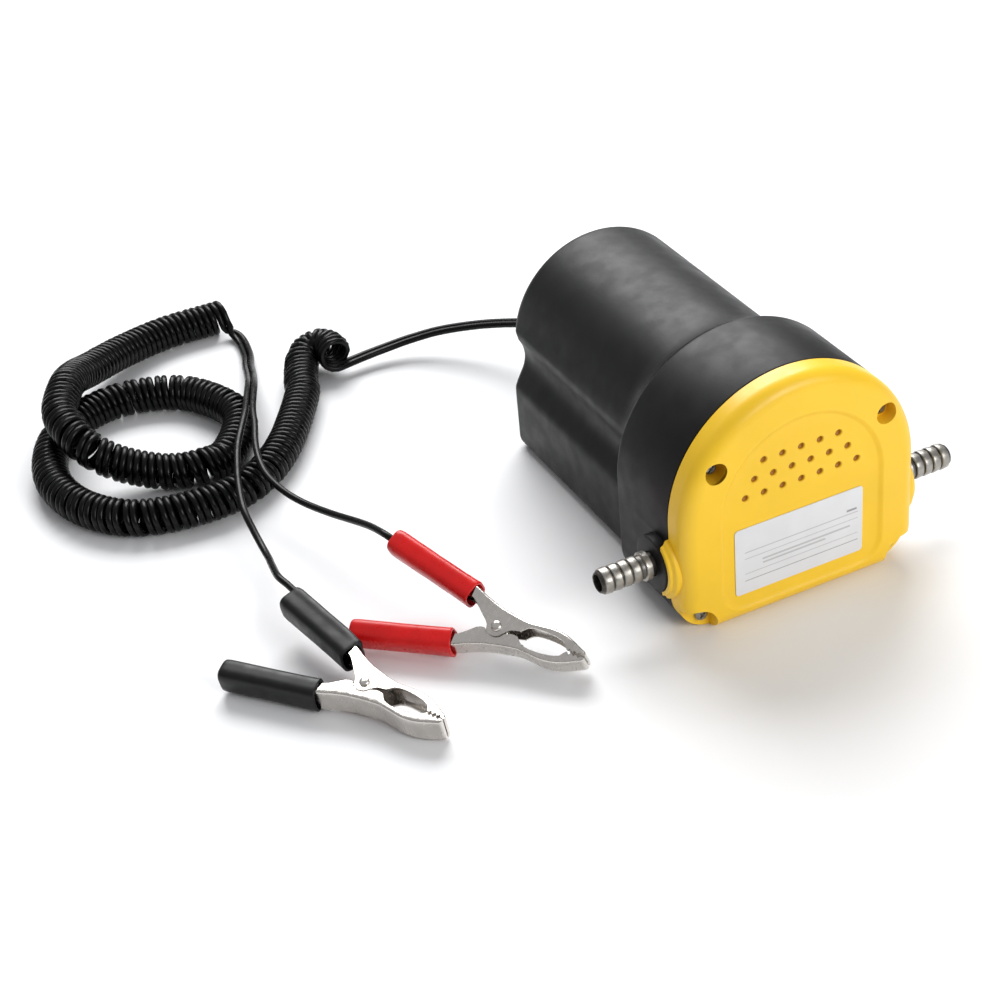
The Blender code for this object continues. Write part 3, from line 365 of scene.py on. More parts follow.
def placed(name, bm, look, matrix=None, sharp=32):
    """The finished bmesh as a named object with outward faces, smooth but for its edges."""
    if matrix is not None:
        bm.transform(matrix)
    bmesh.ops.recalc_face_normals(bm, faces=bm.faces)
    mesh = bpy.data.meshes.new(name)
    bm.to_mesh(mesh)
    bm.free()
    mesh.materials.append(look)
    return finished(shown(name, mesh), sharp)


def ring_faces(bm, rings):
    """Quads between rings of equally many points, and a cap at each end."""
    rows = [[bm.verts.new(point) for point in ring] for ring in rings]
    for row, following in zip(rows, rows[1:]):
        for i in range(len(row)):
            j = (i + 1) % len(row)
            bm.faces.new((row[i], row[j], following[j], following[i]))
    bm.faces.new(rows[0])
    bm.faces.new(rows[-1])


def lofted(name, rings, look, matrix=None, sharp=32):
    bm = bmesh.new()
    ring_faces(bm, rings)
    return placed(name, bm, look, matrix, sharp)


def section(outline, depth):
    return [(x, FRONT_Y + depth, z) for x, z in outline]


def prism_along_y(name, outline, front, back, look):
    return lofted(name, [section(outline, front), section(outline, back)], look)


def turned(name, profile, look, steps=48, matrix=None, sharp=32):
    """A profile of (along, radius) turned about local z. A profile off the axis closes on itself."""
    bm = bmesh.new()
    corners = [bm.verts.new((radius, 0, along)) for along, radius in profile]
    edges = [bm.edges.new(pair) for pair in zip(corners, corners[1:])]
    if min(radius for along, radius in profile) > 0:
        edges.append(bm.edges.new((corners[-1], corners[0])))
    bmesh.ops.spin(bm, geom=corners + edges, cent=(0, 0, 0), axis=(0, 0, 1), angle=2 * pi, steps=steps)
    bmesh.ops.remove_doubles(bm, verts=bm.verts, dist=1e-6)
    return placed(name, bm, look, matrix, sharp)


def along_y(x, z, depth=0.0):
    return Matrix.Translation((x, FRONT_Y + depth, z)) @ Matrix.Rotation(-pi / 2, 4, "X")


def along_x(side):
    turn = Matrix.Rotation(side * pi / 2, 4, "Y")
    return Matrix.Translation((0, FRONT_Y + BARB_DEPTH, BARB_Z)) @ turn


def cylinder(name, start, end, radius, look, steps, matrix):
    return turned(name, [(start, 0), (start, radius), (end, radius), (end, 0)], look, steps, matrix)


def circle(x, y, radius, count=48, start=0.0, sweep=2 * pi):
    steps = count if abs(sweep - 2 * pi) < 1e-9 else count - 1
    angles = [start + sweep * i / steps for i in range(count)]
    return [(x + radius * cos(angle), y + radius * sin(angle)) for angle in angles]


def capsule(x, y, angle, length, radius, count=17):
    far_x = x + length * cos(angle)
    far_y = y + length * sin(angle)
    near_end = circle(x, y, radius, count, angle + pi / 2, pi)
    return near_end + circle(far_x, far_y, radius, count, angle - pi / 2, pi)


def rounded_box(half_x, half_y, corner, x=0.0, y=0.0, count=7):
    points = []
    for turn, (i, j) in enumerate(((1, -1), (1, 1), (-1, 1), (-1, -1))):
        centre_x = x + i * (half_x - corner)
        centre_y = y + j * (half_y - corner)
        points += circle(centre_x, centre_y, corner, count, (turn - 1) * pi / 2, pi / 2)
    return points


def combine(thing, other, operation):
    """Joins or cuts a helper shape, then removes the helper."""
    change = thing.modifiers.new(operation.lower(), "BOOLEAN")
    change.object = other
    change.operation = operation
    change.solver = "EXACT"
    mesh = evaluated_mesh(thing)
    thing.modifiers.clear()
    thing.data = mesh
    bpy.data.objects.remove(other)


def evaluated_mesh(thing):
    """A mesh of the object with its modifiers or its curve's bevel worked out."""
    graph = bpy.context.evaluated_depsgraph_get()
    return bpy.data.meshes.new_from_object(thing.evaluated_get(graph), depsgraph=graph)


def cut(thing, *others):
    for other in others:
        combine(thing, other, "DIFFERENCE")


def join(thing, *others):
    for other in others:
        combine(thing, other, "UNION")


def smooth_route(points, spacing):
    """Points on a smooth curve through a route, a steady distance apart."""
    route = [Vector(point) for point in points]
    ends = [2 * route[0] - route[1], *route, 2 * route[-1] - route[-2]]
    fine = []
    for a, b, c, d in zip(ends, ends[1:], ends[2:], ends[3:]):
        for step in range(24):
            t = step / 24
            bend = 2 * a - 5 * b + 4 * c - d
            twist = 3 * b - a - 3 * c + d
            fine.append(0.5 * (2 * b + (c - a) * t + bend * t**2 + twist * t**3))
    fine.append(route[-1])
    return evenly(fine, spacing)


def evenly(points, spacing):
    """Points a steady distance apart along a polyline."""
    lengths = [0.0]
    for a, b in zip(points, points[1:]):
        lengths.append(lengths[-1] + (b - a).length)
    count = max(2, round(lengths[-1] / spacing))
    picked = []
    place = 0
    for i in range(count + 1):
        target = lengths[-1] * i / count
        while place < len(points) - 2 and lengths[place + 1] < target:
            place += 1
        share = (target - lengths[place]) / (lengths[place + 1] - lengths[place])
        picked.append(points[place].lerp(points[place + 1], share))
    return picked


def tube(name, points, diameter, look, resolution):
    curve = bpy.data.curves.new(name, "CURVE")
    curve.dimensions = "3D"
    curve.bevel_depth = diameter / 2
    curve.bevel_resolution = resolution
    curve.use_fill_caps = True
    curve.materials.append(look)
    spline = curve.splines.new("POLY")
    spline.points.add(len(points) - 1)
    for place, point in zip(spline.points, points):
        place.co = (*point, 1)
    return shown(name, curve)


def stand_for(thing, slot, *nodes, body="pump"):
    """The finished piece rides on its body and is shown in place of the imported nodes."""
    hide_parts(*nodes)
    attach(thing, body)
    return thing


# -------- camera, light and floor

def camera():
    """The photograph's view: the camera looks at its target from a heading, a height and a roll."""
    azimuth = Matrix.Rotation(radians(-23.55), 4, "Z")
    elevation = Matrix.Rotation(radians(90 - 34.253), 4, "X")
    roll = Matrix.Rotation(radians(-5.551), 4, "Z")
    target = Matrix.Translation((-0.1191, -0.079, 0.0899))
    distance = Matrix.Translation((0, 0, 0.7221))
    data = bpy.data.cameras.new("camera")
    data.sensor_width = 36
    data.lens = 78.318
    data.clip_start = 0.01
    data.clip_end = 20
    seen_from = shown("camera", data)
    seen_from.matrix_world = target @ azimuth @ elevation @ roll @ distance
    bpy.context.scene.camera = seen_from


def soft_light(name, place, target, size, power):
    data = bpy.data.lights.new(name, "AREA")
    data.shape = "RECTANGLE"
    data.size = size[0]
    data.size_y = size[1]
    data.energy = power
    lamp = shown(name, data)
    lamp.location = place
    lamp.rotation_euler = (Vector(target) - Vector(place)).to_track_quat("-Z", "Y").to_euler()


def studio():
    """A pale floor under a sky that brightens upwards, one lamp behind the pump and one in front."""
    world = bpy.data.worlds.new("studio")
    world.use_nodes = True
    tree = world.node_tree
    place = node(tree, "TexCoord")
    parts = node(tree, "SeparateXYZ")
    change = node(tree, "MapRange", From_Min=0.0, From_Max=0.75, To_Min=0.23, To_Max=0.45)
    tree.links.new(place.outputs["Generated"], parts.inputs["Vector"])
    tree.links.new(parts.outputs["Z"], change.inputs["Value"])
    tree.links.new(change.outputs["Result"], tree.nodes["Background"].inputs["Strength"])
    tree.nodes["Background"].inputs["Color"].default_value = (0.98, 0.985, 1, 1)
    bpy.context.scene.world = world
    bpy.context.scene.view_settings.view_transform = "Standard"
    soft_light("behind", (0.3, 0.95, 1.05), (-0.05, 0.05, 0.03), (1.1, 0.9), 26)
    soft_light("front", (0.45, -1.3, 0.75), (0, 0, 0.04), (0.9, 0.6), 12)
    look = Look("floor", (0.86, 0.865, 0.875), 0.55, specular=0.2)
    look.tint(0.006, 120 * MM)
    bm = bmesh.new()
    bmesh.ops.create_grid(bm, x_segments=1, y_segments=1, size=6)
    placed("floor", bm, look.material)


# -------- case

def mirrored(half):
    """A whole outline in x and z, from its right half running from the foot's middle to the top's."""
    return half + [(-x, z) for x, z in reversed(half[1:-1])]


def foot(half_width, corner):
    flat = [((half_width - corner) * step / 4, 0) for step in range(4)]
    return flat + circle(half_width - corner, corner, corner, 12, -pi / 2, pi / 2)


def arch_outline():
    side = [(ARCH_RADIUS, FOOT_CORNER + (ARCH_CENTRE_Z - FOOT_CORNER) * step / 24) for step in range(1, 25)]
    top = circle(0, ARCH_CENTRE_Z, ARCH_RADIUS, 44, 0, pi / 2)[1:]
    return mirrored(foot(ARCH_RADIUS, FOOT_CORNER) + side + top)


def barrel_outline():
    waist = [
        (41.3, 14), (41.3, 28), (40.6, 31), (38.8, 34.5), (36.8, 38.5), (35.9, 43), (36.6, 47.5), (38.4, 51.5),
    ]
    curve = smooth_route(route_from_mm([(x, 0, z) for x, z in waist]), 0.1 * MM)
    chosen = [curve[round(i * (len(curve) - 1) / 23)] for i in range(24)]
    side = [(point.x, point.z) for point in chosen]
    start = asin(5 * MM / BARREL_RADIUS)
    top = circle(0, BARREL_CENTRE_Z, BARREL_RADIUS, 43, start, pi / 2 - start)
    return mirrored(foot(41.3 * MM, 6 * MM) + side + top)


def inset(outline, distance):
    """The outline moved inwards by a distance, point by point."""
    moved = []
    for i, (x, z) in enumerate(outline):
        before = Vector(outline[i - 1])
        after = Vector(outline[(i + 1) % len(outline)])
        along = (after - before).normalized()
        moved.append((x - along.y * distance, z + along.x * distance))
    return moved


def stepped(outline, steps):
    """Sections from (how far the outline moves in, depth) pairs in millimetres."""
    return [section(inset(outline, distance), depth) for distance, depth in from_mm(steps)]


def rounded_off(outline, depth, radius, angles, side=1, wall=0.0):
    """Sections that turn an edge over, from a depth towards the back, or the front where side is -1."""
    sections = []
    for angle in angles:
        moved = inset(outline, wall + radius * (1 - cos(angle)))
        sections.append(section(moved, depth + side * radius * sin(angle)))
    return sections


def quarter(steps):
    return [pi / 2 * step / steps for step in range(steps + 1)]


def neck(start, end, shares, wall=0.0):
    """Sections from the front arch to the rear barrel, along a hollow quarter round."""
    sections = []
    for share in shares:
        weight = 1 - sqrt(1 - (1 - share) ** 2)
        pairs = zip(arch_outline(), barrel_outline())
        outline = [(bx + (ax - bx) * weight, bz + (az - bz) * weight) for (ax, az), (bx, bz) in pairs]
        sections.append(section(inset(outline, wall), start + (end - start) * share))
    return sections


def screw_places():
    """(x, z, seat depth, direction towards the nearest wall) for each cover screw."""
    places = []
    for side in (-1, 1):
        for (x, z, seat), lift in ((UPPER_SCREW, 45), (LOWER_SCREW, -60)):
            angle = radians(lift if side > 0 else 180 - lift)
            places.append((side * x, z, seat, angle))
    return places


def housing_cavity(look):
    neck_start = NECK_START - HOUSING_WALL
    arch = inset(arch_outline(), HOUSING_WALL)
    sections = [section(arch, COVER_DEPTH - 4 * MM), section(arch, neck_start)]
    sections += neck(neck_start, NECK_END - HOUSING_WALL, (0.05, 0.25, 0.55, 1.0), HOUSING_WALL)
    sections.append(section(inset(barrel_outline(), HOUSING_WALL), CASE_LENGTH - 6 * MM))
    sections.append(section(inset(barrel_outline(), HOUSING_WALL + 2.5 * MM), CASE_LENGTH - HOUSING_WALL))
    cavity = lofted("housing_cavity", sections, look)
    for x, z, seat, angle in screw_places():
        post = capsule(x, z, angle, 8 * MM, 4.4 * MM)
        cut(cavity, prism_along_y("housing_post", post, 0, 34 * MM, look))
    return cavity


def housing(look):
    edge = 2.5 * MM
    arch = arch_outline()
    lead_in = COVER_DEPTH + 0.3 * MM
    sections = [section(inset(arch, 0.35 * MM), lead_in), section(inset(arch, 0.1 * MM), lead_in + 0.12 * MM)]
    sections += [section(arch, lead_in + 0.4 * MM), section(arch, NECK_START - edge)]
    turns = [radians(degrees) for degrees in (14, 28, 42, 56, 70)]
    sections += rounded_off(arch, NECK_START - edge, edge, turns)
    shares = (0.02, 0.05, 0.1, 0.16, 0.24, 0.33, 0.43, 0.54, 0.66, 0.78, 0.9, 1.0)
    sections += neck(NECK_START, NECK_END, shares)
    sections += rounded_off(barrel_outline(), CASE_LENGTH - REAR_EDGE, REAR_EDGE, quarter(10))
    shell = lofted("case_housing", sections, look)
    cut(shell, housing_cavity(look))
    for side in (-1, 1):
        collar = from_mm([(45, 0), (45, 10.8), (53.2, 10.8), (53.6, 10.7), (53.9, 10.4), (54, 10), (54, 0)])
        join(shell, turned("collar", collar, look, 72, along_x(side)))
        cut(shell, cylinder("barb_hole", 40 * MM, 60 * MM, 4.9 * MM, look, 48, along_x(side)))
    for x, z, seat, angle in screw_places():
        cut(shell, cylinder("post_bore", 0, 30 * MM, SCREW_BORE, look, 24, along_y(x, z)))
    inside = CASE_LENGTH - 8 * MM
    outside = CASE_LENGTH + 5 * MM
    opening = rounded_box(9.8 * MM, 6.6 * MM, 0.5 * MM, 0, SWITCH_Z)
    cut(shell, prism_along_y("switch_hole", opening, inside, outside, look))
    cut(shell, cylinder("lead_hole", inside, outside, 4.6 * MM, look, 48, along_y(0, LEAD_EXIT_Z)))
    return finished(shell)


def panel_outline():
    half_width = 33 * MM
    low = 7 * MM
    corner = 9 * MM
    right = circle(half_width - corner, low + corner, corner, 16, -pi / 2, pi / 2)
    left = circle(corner - half_width, low + corner, corner, 16, pi, pi / 2)
    return left + right + circle(0, ARCH_CENTRE_Z, half_width, 72, 0, pi)


def corner_circle(x, radius):
    """A circle over the cover's lower corner on the side of x."""
    return circle(copysign(CORNER_CENTRE[0], x), CORNER_CENTRE[1], radius, 64)


def cover_cavity(look):
    inner_radius = COVER_SHOULDER - COVER_WALL
    sections = [section(inset(arch_outline(), COVER_WALL), COVER_DEPTH + 5 * MM)]
    sections += rounded_off(arch_outline(), COVER_SHOULDER, inner_radius, quarter(3), -1, COVER_WALL)
    cavity = lofted("cover_cavity", sections, look)
    for x, z, seat, angle in screw_places():
        if z == UPPER_SCREW[1]:
            wall = capsule(x, z, angle, 10 * MM, 5.4 * MM)
        else:
            wall = corner_circle(x, CORNER_POCKET + POCKET_WALL)
        cut(cavity, prism_along_y("pocket_wall", wall, -2 * MM, 20 * MM, look))
    return cavity


def hose_lip(side, look):
    profile = [
        (43, 0), (43, 14.6), (51, 14.6), (51.4, 14.4), (51.7, 14), (51.95, 13.4), (52.3, 13), (52.9, 12.8),
        (53.25, 12.6), (53.4, 12.2), (53.4, 0),
    ]
    lip = turned("hose_lip", from_mm(profile), look, 96, along_x(side))
    behind = from_mm([(-70, 0), (70, 0), (70, 60), (-70, 60)])
    cut(lip, prism_along_y("behind_seam", behind, COVER_DEPTH, 50 * MM, look))
    return lip


def vent_cutter(look):
    """Round vents in rows, each one flared at its mouth and stopping at a thin film."""
    bm = bmesh.new()
    mouth = from_mm([(-1, 1.66), (1.02, 1.66), (1.1, 1.5), (1.3, 1.34), (1.7, 1.2), (2.2, 1.1), (2.4, 0.8)])
    for count, z in VENT_ROWS:
        for i in range(count):
            x = (i - (count - 1) / 2) * VENT_PITCH
            ring_faces(bm, [section(circle(x, z, radius, 24), depth) for depth, radius in mouth])
    return placed("vent_cutter", bm, look)


def cover(look):
    arch = arch_outline()
    seam = 0.3 * MM
    sections = [section(inset(arch, seam), COVER_DEPTH), section(arch, COVER_DEPTH - seam)]
    sections += rounded_off(arch, COVER_SHOULDER, COVER_SHOULDER, quarter(14), -1)
    shell = lofted("yellow_cover", sections, look)
    cut(shell, cover_cavity(look))
    for side in (-1, 1):
        join(shell, hose_lip(side, look))
        radius = COLLAR_RADIUS + 0.5 * MM
        cut(shell, cylinder("collar_opening", 40 * MM, 60 * MM, radius, look, 72, along_x(side)))
    step_profile = ((-3, -1), (-2.1, 0.01), (-1.6, 0.14), (-1, 0.5), (-0.4, 0.86), (0.1, 1))
    cut(shell, lofted("panel_cutter", stepped(panel_outline(), step_profile), look), vent_cutter(look))
    for x, z, seat, angle in screw_places():
        pocket = circle(x, z, UPPER_POCKET, 48) if z == UPPER_SCREW[1] else corner_circle(x, CORNER_POCKET)
        cut(shell, prism_along_y("screw_pocket", pocket, -5 * MM, seat, look))
        cut(shell, cylinder("screw_clearance", 0, 20 * MM, SCREW_BORE, look, 24, along_y(x, z)))
    return finished(shell)


def cover_screw(name, x, z, seat, look):
    """A pan-head screw with a cross recess."""
    top = seat - 1.9 * MM
    profile = [
        (0, 0), (0, 1.4), (0.12, 1.9), (0.4, 2.35), (0.8, 2.6), (1.35, 2.65), (1.6, 2.6), (1.6, 1.45),
        (17.4, 1.45), (18.6, 0.3), (18.6, 0),
    ]
    screw = turned(name, from_mm(profile), look, 40, along_y(x, z, top))
    bar = from_mm([(-1.6, -0.42), (1.6, -0.42), (1.6, 0.42), (-1.6, 0.42)])
    for turn in (pi / 4, 3 * pi / 4):
        rings = []
        for share, depth in ((1, -1), (0.95, 0), (0.35, 1.15)):
            spun = []
            for along, across in bar:
                right = along * share * cos(turn) - across * sin(turn)
                rise = along * share * sin(turn) + across * cos(turn)
                spun.append((x + right, z + rise))
            rings.append(section(spun, top + depth * MM))
        cut(screw, lofted("cross_bar", rings, look))
    return finished(screw)


def label(look):
    outline = rounded_box(27.5 * MM, 14.5 * MM, 1.5 * MM, -1.2 * MM, 26.4 * MM, 12)
    return lofted("plain_label", stepped(outline, ((0, 0.9), (0, 0.68), (0.06, 0.62), (0.2, 0.6))), look)


def hose_barb(name, side, look):
    """A steel hose tail: saw-tooth ridges with turned-over crests, a shoulder, and a countersunk bore."""
    outside = [(20.4, 4.5), (55.8, 4.5), (55.8, 5.4), (55.95, 5.6)]
    outside += [(58.05, 5.6), (58.2, 5.45), (58.4, 4.6), (59.6, 4.5)]
    for ridge in range(4):
        start = 60.2 + ridge * 3.9
        outside += [(start - 0.3, 4.4), (start - 0.1, 4.85), (start + 0.15, 5.05), (start + 0.5, 5.1)]
        outside += [(start + 2.7, 4.9), (start + 3.0, 4.78), (start + 3.2, 4.5), (start + 3.35, 4.4)]
    outside += [(75.7, 4.15), (76.05, 4.0), (76.25, 3.75), (76.3, 3.55), (76.1, 3.3), (75.4, 3.2)]
    return turned(name, from_mm(outside) + [(20.4 * MM, BARB_BORE)], look, 72, along_x(side))


def switch_frame(look):
    """The switch's fixed part: a rim on the rear face, and a case behind it with the rocker's well."""
    back = CASE_LENGTH
    sections = []
    for distance, depth in from_mm([(0.15, 0.3), (0, 0.45), (0, 1.3), (0.15, 1.6), (0.5, 1.8)]):
        outline = rounded_box(10.5 * MM - distance, 7.5 * MM - distance, 1.2 * MM, 0, SWITCH_Z)
        sections.append(section(outline, back + depth))
    body = lofted("switch_frame", sections, look)
    case = rounded_box(9.4 * MM, 6.2 * MM, 0.5 * MM, 0, SWITCH_Z)
    well = rounded_box(7.4 * MM, 4.9 * MM, 0.5 * MM, 0, SWITCH_Z)
    join(body, prism_along_y("switch_case", case, back - 14 * MM, back + 1 * MM, look))
    cut(body, prism_along_y("switch_well", well, back - 4.5 * MM, back + 5 * MM, look))
    return finished(body)


def switch_rocker(look):
    """A rocker whose face is hollow, rising from the middle to both ends."""
    reach = 6.6
    steps = 32
    outline = [(-reach, -2.6), (reach, -2.6)]
    for step in range(steps + 1):
        x = reach - 2 * reach * step / steps
        outline.append((x, 0.7 + 1.17 * (abs(x) / reach) ** 1.6))
    rings = []
    for height, shrink in ((-4.5, 0.25), (-4.3, 0.06), (-4.05, 0), (4.05, 0), (4.3, 0.06), (4.5, 0.25)):
        ring = []
        for x, y in outline:
            ring.append((x * (1 - shrink / reach) * MM, (y - (shrink if y > 0 else 0)) * MM, height * MM))
        rings.append(ring)
    place = Matrix.Translation((0, FRONT_Y + CASE_LENGTH, SWITCH_Z)) @ Matrix.Rotation(-ROCKER_TILT, 4, "Z")
    return lofted("switch_rocker", rings, look, place)


def relief_boot(look):
    """The lead's boot: a plug in the wall, a lip in front of it and four tapering ribs."""
    outside = [(-5.4, 0), (-5.4, 6), (-3.4, 6), (-3.4, 4.2), (0.3, 4.2), (0.3, 5.7), (0.5, 5.95), (1, 6)]
    outside += [(1.6, 5.8), (2.1, 5.2)]
    for rib in range(4):
        along = 3 + rib * 3.4
        radius = 5.3 - rib * 0.45
        outside += [(along - 0.55, radius - 0.85), (along - 0.35, radius - 0.2), (along - 0.05, radius)]
        outside += [(along + 0.35, radius - 0.1), (along + 0.75, radius - 0.65), (along + 1.1, radius - 0.95)]
    outside += [(16.6, 3.5), (16.9, 3.4), (17, 3.2), (17, 0)]
    return turned("lead_boot", from_mm(outside), look, 56, along_y(0, LEAD_EXIT_Z, CASE_LENGTH), sharp=50)


# -------- clips

# Places on a clip are (u towards the tips, v across, w up through the rivet), from the rivet's centre.
SPINE = [
    (-48.3, 21.1), (-30, 16.5), (-14.3, 12.5), (-7.4, 9.7), (-0.9, 7.6), (9.2, 5.8), (14.6, 5.95),
    (20.1, 6.4), (24.6, 5.95), (28.4, 4.8), (33, 2.7), (34.6, 1.9), (35.2, 0.9),
]


def interpolated(points, u):
    """v at a place along points that run from low u to high u."""
    for (before, low), (after, high) in zip(points, points[1:]):
        if u <= after:
            return low + (high - low) * (u - before) / (after - before)
    return points[-1][1]


def spine_curve():
    fine = smooth_route([Vector((u, v, 0)) for u, v in SPINE], 0.4)
    return [(point.x, point.y) for point in fine]


def gripping_edge(with_ear):
    """The flanges' free edge from the handle's end to the tip: throat, ear or relief, mouth and teeth."""
    edge = [(-49.2, 16.3), (-15.6, 7.95), (-14, 7.85), (-12.6, 7.4), (-11.2, 6.5), (-9, 4.5), (-6.9, 2.6)]
    if with_ear:
        edge += [(-5.2, 1.2), (-4.2, 0.2), *circle(0, 0, 3.7, 25, radians(190), radians(136))]
        edge += [(4.2, -0.9), (5.6, 0.3), (7.4, 0.7)]
    else:
        edge += [(-5.2, 1.9), *circle(0, 0, 4.4, 25, radians(155), radians(-130))]
        edge += [(6.2, 1.0), (7.6, 0.85)]
    edge += [(9.1, 1.1), (10.2, 2.3), (11.4, 3.3), (12.9, 3.85), (15, 4.1), (17.5, 4.15), (19.9, 4.05)]
    edge += [(22.4, 3.75), (24.6, 3.25), (26.4, 2.5)]
    for tooth in range(4):
        tip = 28.3 + tooth * 1.9
        edge += [(tip - 0.95, 1.1), (tip - 0.15, 0.28), (tip + 0.15, 0.25)]
    edge += [(35.2, 0.25)]
    return edge


def channel_ring(u, spine, edge, half_height, bend, filled):
    """A U-shaped section: up one flange, over the spine, down the other, and back along the inside."""
    outside = channel_side(u, spine, edge, half_height, bend)
    inner_spine = edge + 0.03 if filled else max(edge + 0.03, spine - SHEET)
    inner_bend = max(0.12, bend - SHEET)
    inside = channel_side(u, inner_spine, edge, half_height - SHEET, inner_bend)
    return [Vector(point) * MM for point in outside + inside[::-1]]


def channel_side(u, spine, edge, half, bend):
    """One face of the sheet, from one flange's free edge over the spine to the other's."""
    bend = min(bend, (spine - edge) * 0.7, half * 0.7)
    flange = spine - bend - edge
    face = [(edge + flange * i / 4, -half) for i in range(4)]
    face += circle(spine - bend, bend - half, bend, 7, -pi / 2, pi / 2)
    face += [(spine, (half - bend) * (i / 2 - 1)) for i in range(1, 4)]
    face += circle(spine - bend, half - bend, bend, 7, 0, pi / 2)
    face += [(spine - bend - flange * i / 4, half) for i in range(1, 5)]
    return [(u, v, w) for v, w in face]


def jaw_stations(edge):
    """Places along the clip: a fine even spacing, and every corner of the gripping edge."""
    stations = {round(-48.2 + 1.5 * i, 3) for i in range(23)}
    stations |= {round(-14.2 + 0.4 * i, 3) for i in range(124)}
    stations |= {round(u, 3) for u, v in edge if -48 < u < 35.15} | {34.55, 34.6, 35.15}
    kept = []
    for u in sorted(stations):
        if not kept or u - kept[-1] > 0.03:
            kept.append(u)
    return kept


def clip_jaw(name, matrix, with_ear, look):
    """One half of a clip, pressed from one sheet: handle, shoulder, jaw and toothed nose."""
    spine = spine_curve()
    edge = gripping_edge(with_ear)
    bm = bmesh.new()
    rings = []
    for u in jaw_stations(edge):
        share = min(1.0, max(0.0, (u + 14.6) / 1.3))
        half = 3.8 + 1.45 * share * share * (3 - 2 * share)
        rings.append(channel_ring(u, interpolated(spine, u), interpolated(edge, u), half, 1.0, u > 34.58))
    ring_faces(bm, rings)
    if not with_ear:
        ear = circle(0, 0, 3.6, 33, pi, pi) + [(4.2, 3), (4.4, 6.2), (-4.4, 7.8), (-4, 3)]
        top = JAW_HEIGHT / 2 - SHEET - 0.3
        for low in (top - SHEET, -top):
            ring_faces(bm, [[Vector((u, v, w)) * MM for u, v in ear] for w in (low, low + SHEET)])
    return placed(name, bm, look, matrix, sharp=28)


def sleeve_ring(along, half_width, half_height, ridge=0.0, lean=0.0, count=56):
    """A rounded-oblong section of a sleeve, with a ridge where a wire runs under it."""
    heading = (SLEEVE_REAR - SLEEVE_FRONT).normalized()
    sideways = Vector((-heading.y, heading.x, 0))
    points = []
    for i in range(count):
        angle = 2 * pi * i / count
        reach = (abs(cos(angle)) ** 3.4 + abs(sin(angle)) ** 3.4) ** (-1 / 3.4)
        apart = abs((angle - radians(140) + pi) % (2 * pi) - pi)
        swell = ridge * exp(-((apart / 0.3) ** 2))
        offset = sideways * ((half_width + swell) * reach * cos(angle))
        height = (half_height + swell) * reach * sin(angle)
        slant = lean * cos(angle)
        points.append((SLEEVE_FRONT + heading * (along + slant) + offset + Vector((0, 0, height))) * MM)
    return points


def clip_sleeve(name, matrix, look, ridge=0.0):
    """A soft vinyl sleeve: open at the front, flared a little there, and rounded at its closed rear."""
    length = (SLEEVE_REAR - SLEEVE_FRONT).length
    inside_and_mouth = (
        (length - 2.4, 3.6, 4.5, 0, 0), (6, 3.75, 4.6, 0, 0), (-0.6, 3.95, 4.85, 0, 0.25),
        (-0.78, 4.1, 5, 0.2, 0.25), (-0.8, 4.5, 5.4, 0.4, 0.25), (-0.68, 4.78, 5.66, 0.5, 0.25),
        (-0.35, 4.9, 5.76, 0.6, 0.2),
    )
    rings = []
    for along, half_width, half_height, share, lean in inside_and_mouth:
        rings.append(sleeve_ring(along, half_width, half_height, ridge * share, lean))
    steps = 40
    for step in range(1, steps):
        along = (length - 2.2) * step / steps
        wave = 0.03 * sin(along * 0.55 + 0.7)
        squeeze = 0.1 * sin(pi * min(1.0, along / (length * 0.8)))
        swell = ridge * min(1.0, 0.6 + along / 18)
        rings.append(sleeve_ring(along, 4.82 - squeeze + wave, 5.7 - squeeze * 0.8 - wave, swell))
    for angle in quarter(7)[1:]:
        shrink = 1.5 * (1 - cos(angle))
        along = length - 1.6 + 1.6 * sin(angle)
        rings.append(sleeve_ring(along, 4.72 - shrink, 5.6 - shrink, ridge * 0.9))
    rings.append(sleeve_ring(length - 0.05, 2.2, 3.0, ridge * 0.3))
    return lofted(name, rings, look, matrix, sharp=60)


def clip_spring(name, matrix, look):
    """A torsion spring round the rivet, with a leg along each handle."""
    turns = 2.5
    steps = round(turns * 28)
    wound = circle(0, 0, 2.75, steps + 1, pi / 4, 2 * pi * turns)
    points = [Vector((u, v, (step / steps - 0.5) * 4.1)) for step, (u, v) in enumerate(wound)]
    first_leg = Vector((-12.2, 7.2, points[0].z))
    last_leg = Vector((-12.2, -7.2, points[-1].z))
    whole = [first_leg.lerp(points[0], i / 6) for i in range(6)] + points
    whole += [points[-1].lerp(last_leg, i / 6) for i in range(1, 7)]
    wire = tube(name, [matrix @ (point * MM) for point in whole], 1.1 * MM, look, 4)
    mesh = evaluated_mesh(wire)
    mesh.shade_smooth()
    bpy.data.objects.remove(wire)
    return shown(name, mesh)


def clip_rivet(name, matrix, look):
    half = JAW_HEIGHT / 2 + 0.05
    dome = [
        (0, 1.55), (0.16, 1.9), (0.4, 1.95), (0.72, 1.75), (0.95, 1.35), (1.1, 0.85), (1.15, 0.4), (1.17, 0),
    ]
    low = [(-half - rise, radius) for rise, radius in dome[::-1]]
    high = [(half + rise, radius) for rise, radius in dome]
    return turned(name, from_mm(low + high), look, 40, matrix)


def clip_matrix(pose):
    place, heading, pitch, roll = pose
    turn = Matrix.Rotation(radians(heading), 4, "Z") @ Matrix.Rotation(radians(-pitch), 4, "Y")
    return Matrix.Translation(Vector(place) * MM) @ turn @ Matrix.Rotation(radians(roll), 4, "X")


def wire_entry(pose, short, outward, up):
    """A place this far short of a wired sleeve's rear end, moved towards the spine's side and up."""
    heading = (SLEEVE_REAR - SLEEVE_FRONT).normalized()
    outside = Vector((heading.y, -heading.x, 0))
    point = SLEEVE_REAR - heading * short + outside * outward + Vector((0, 0, up))
    return clip_matrix(pose) @ (point * MM)


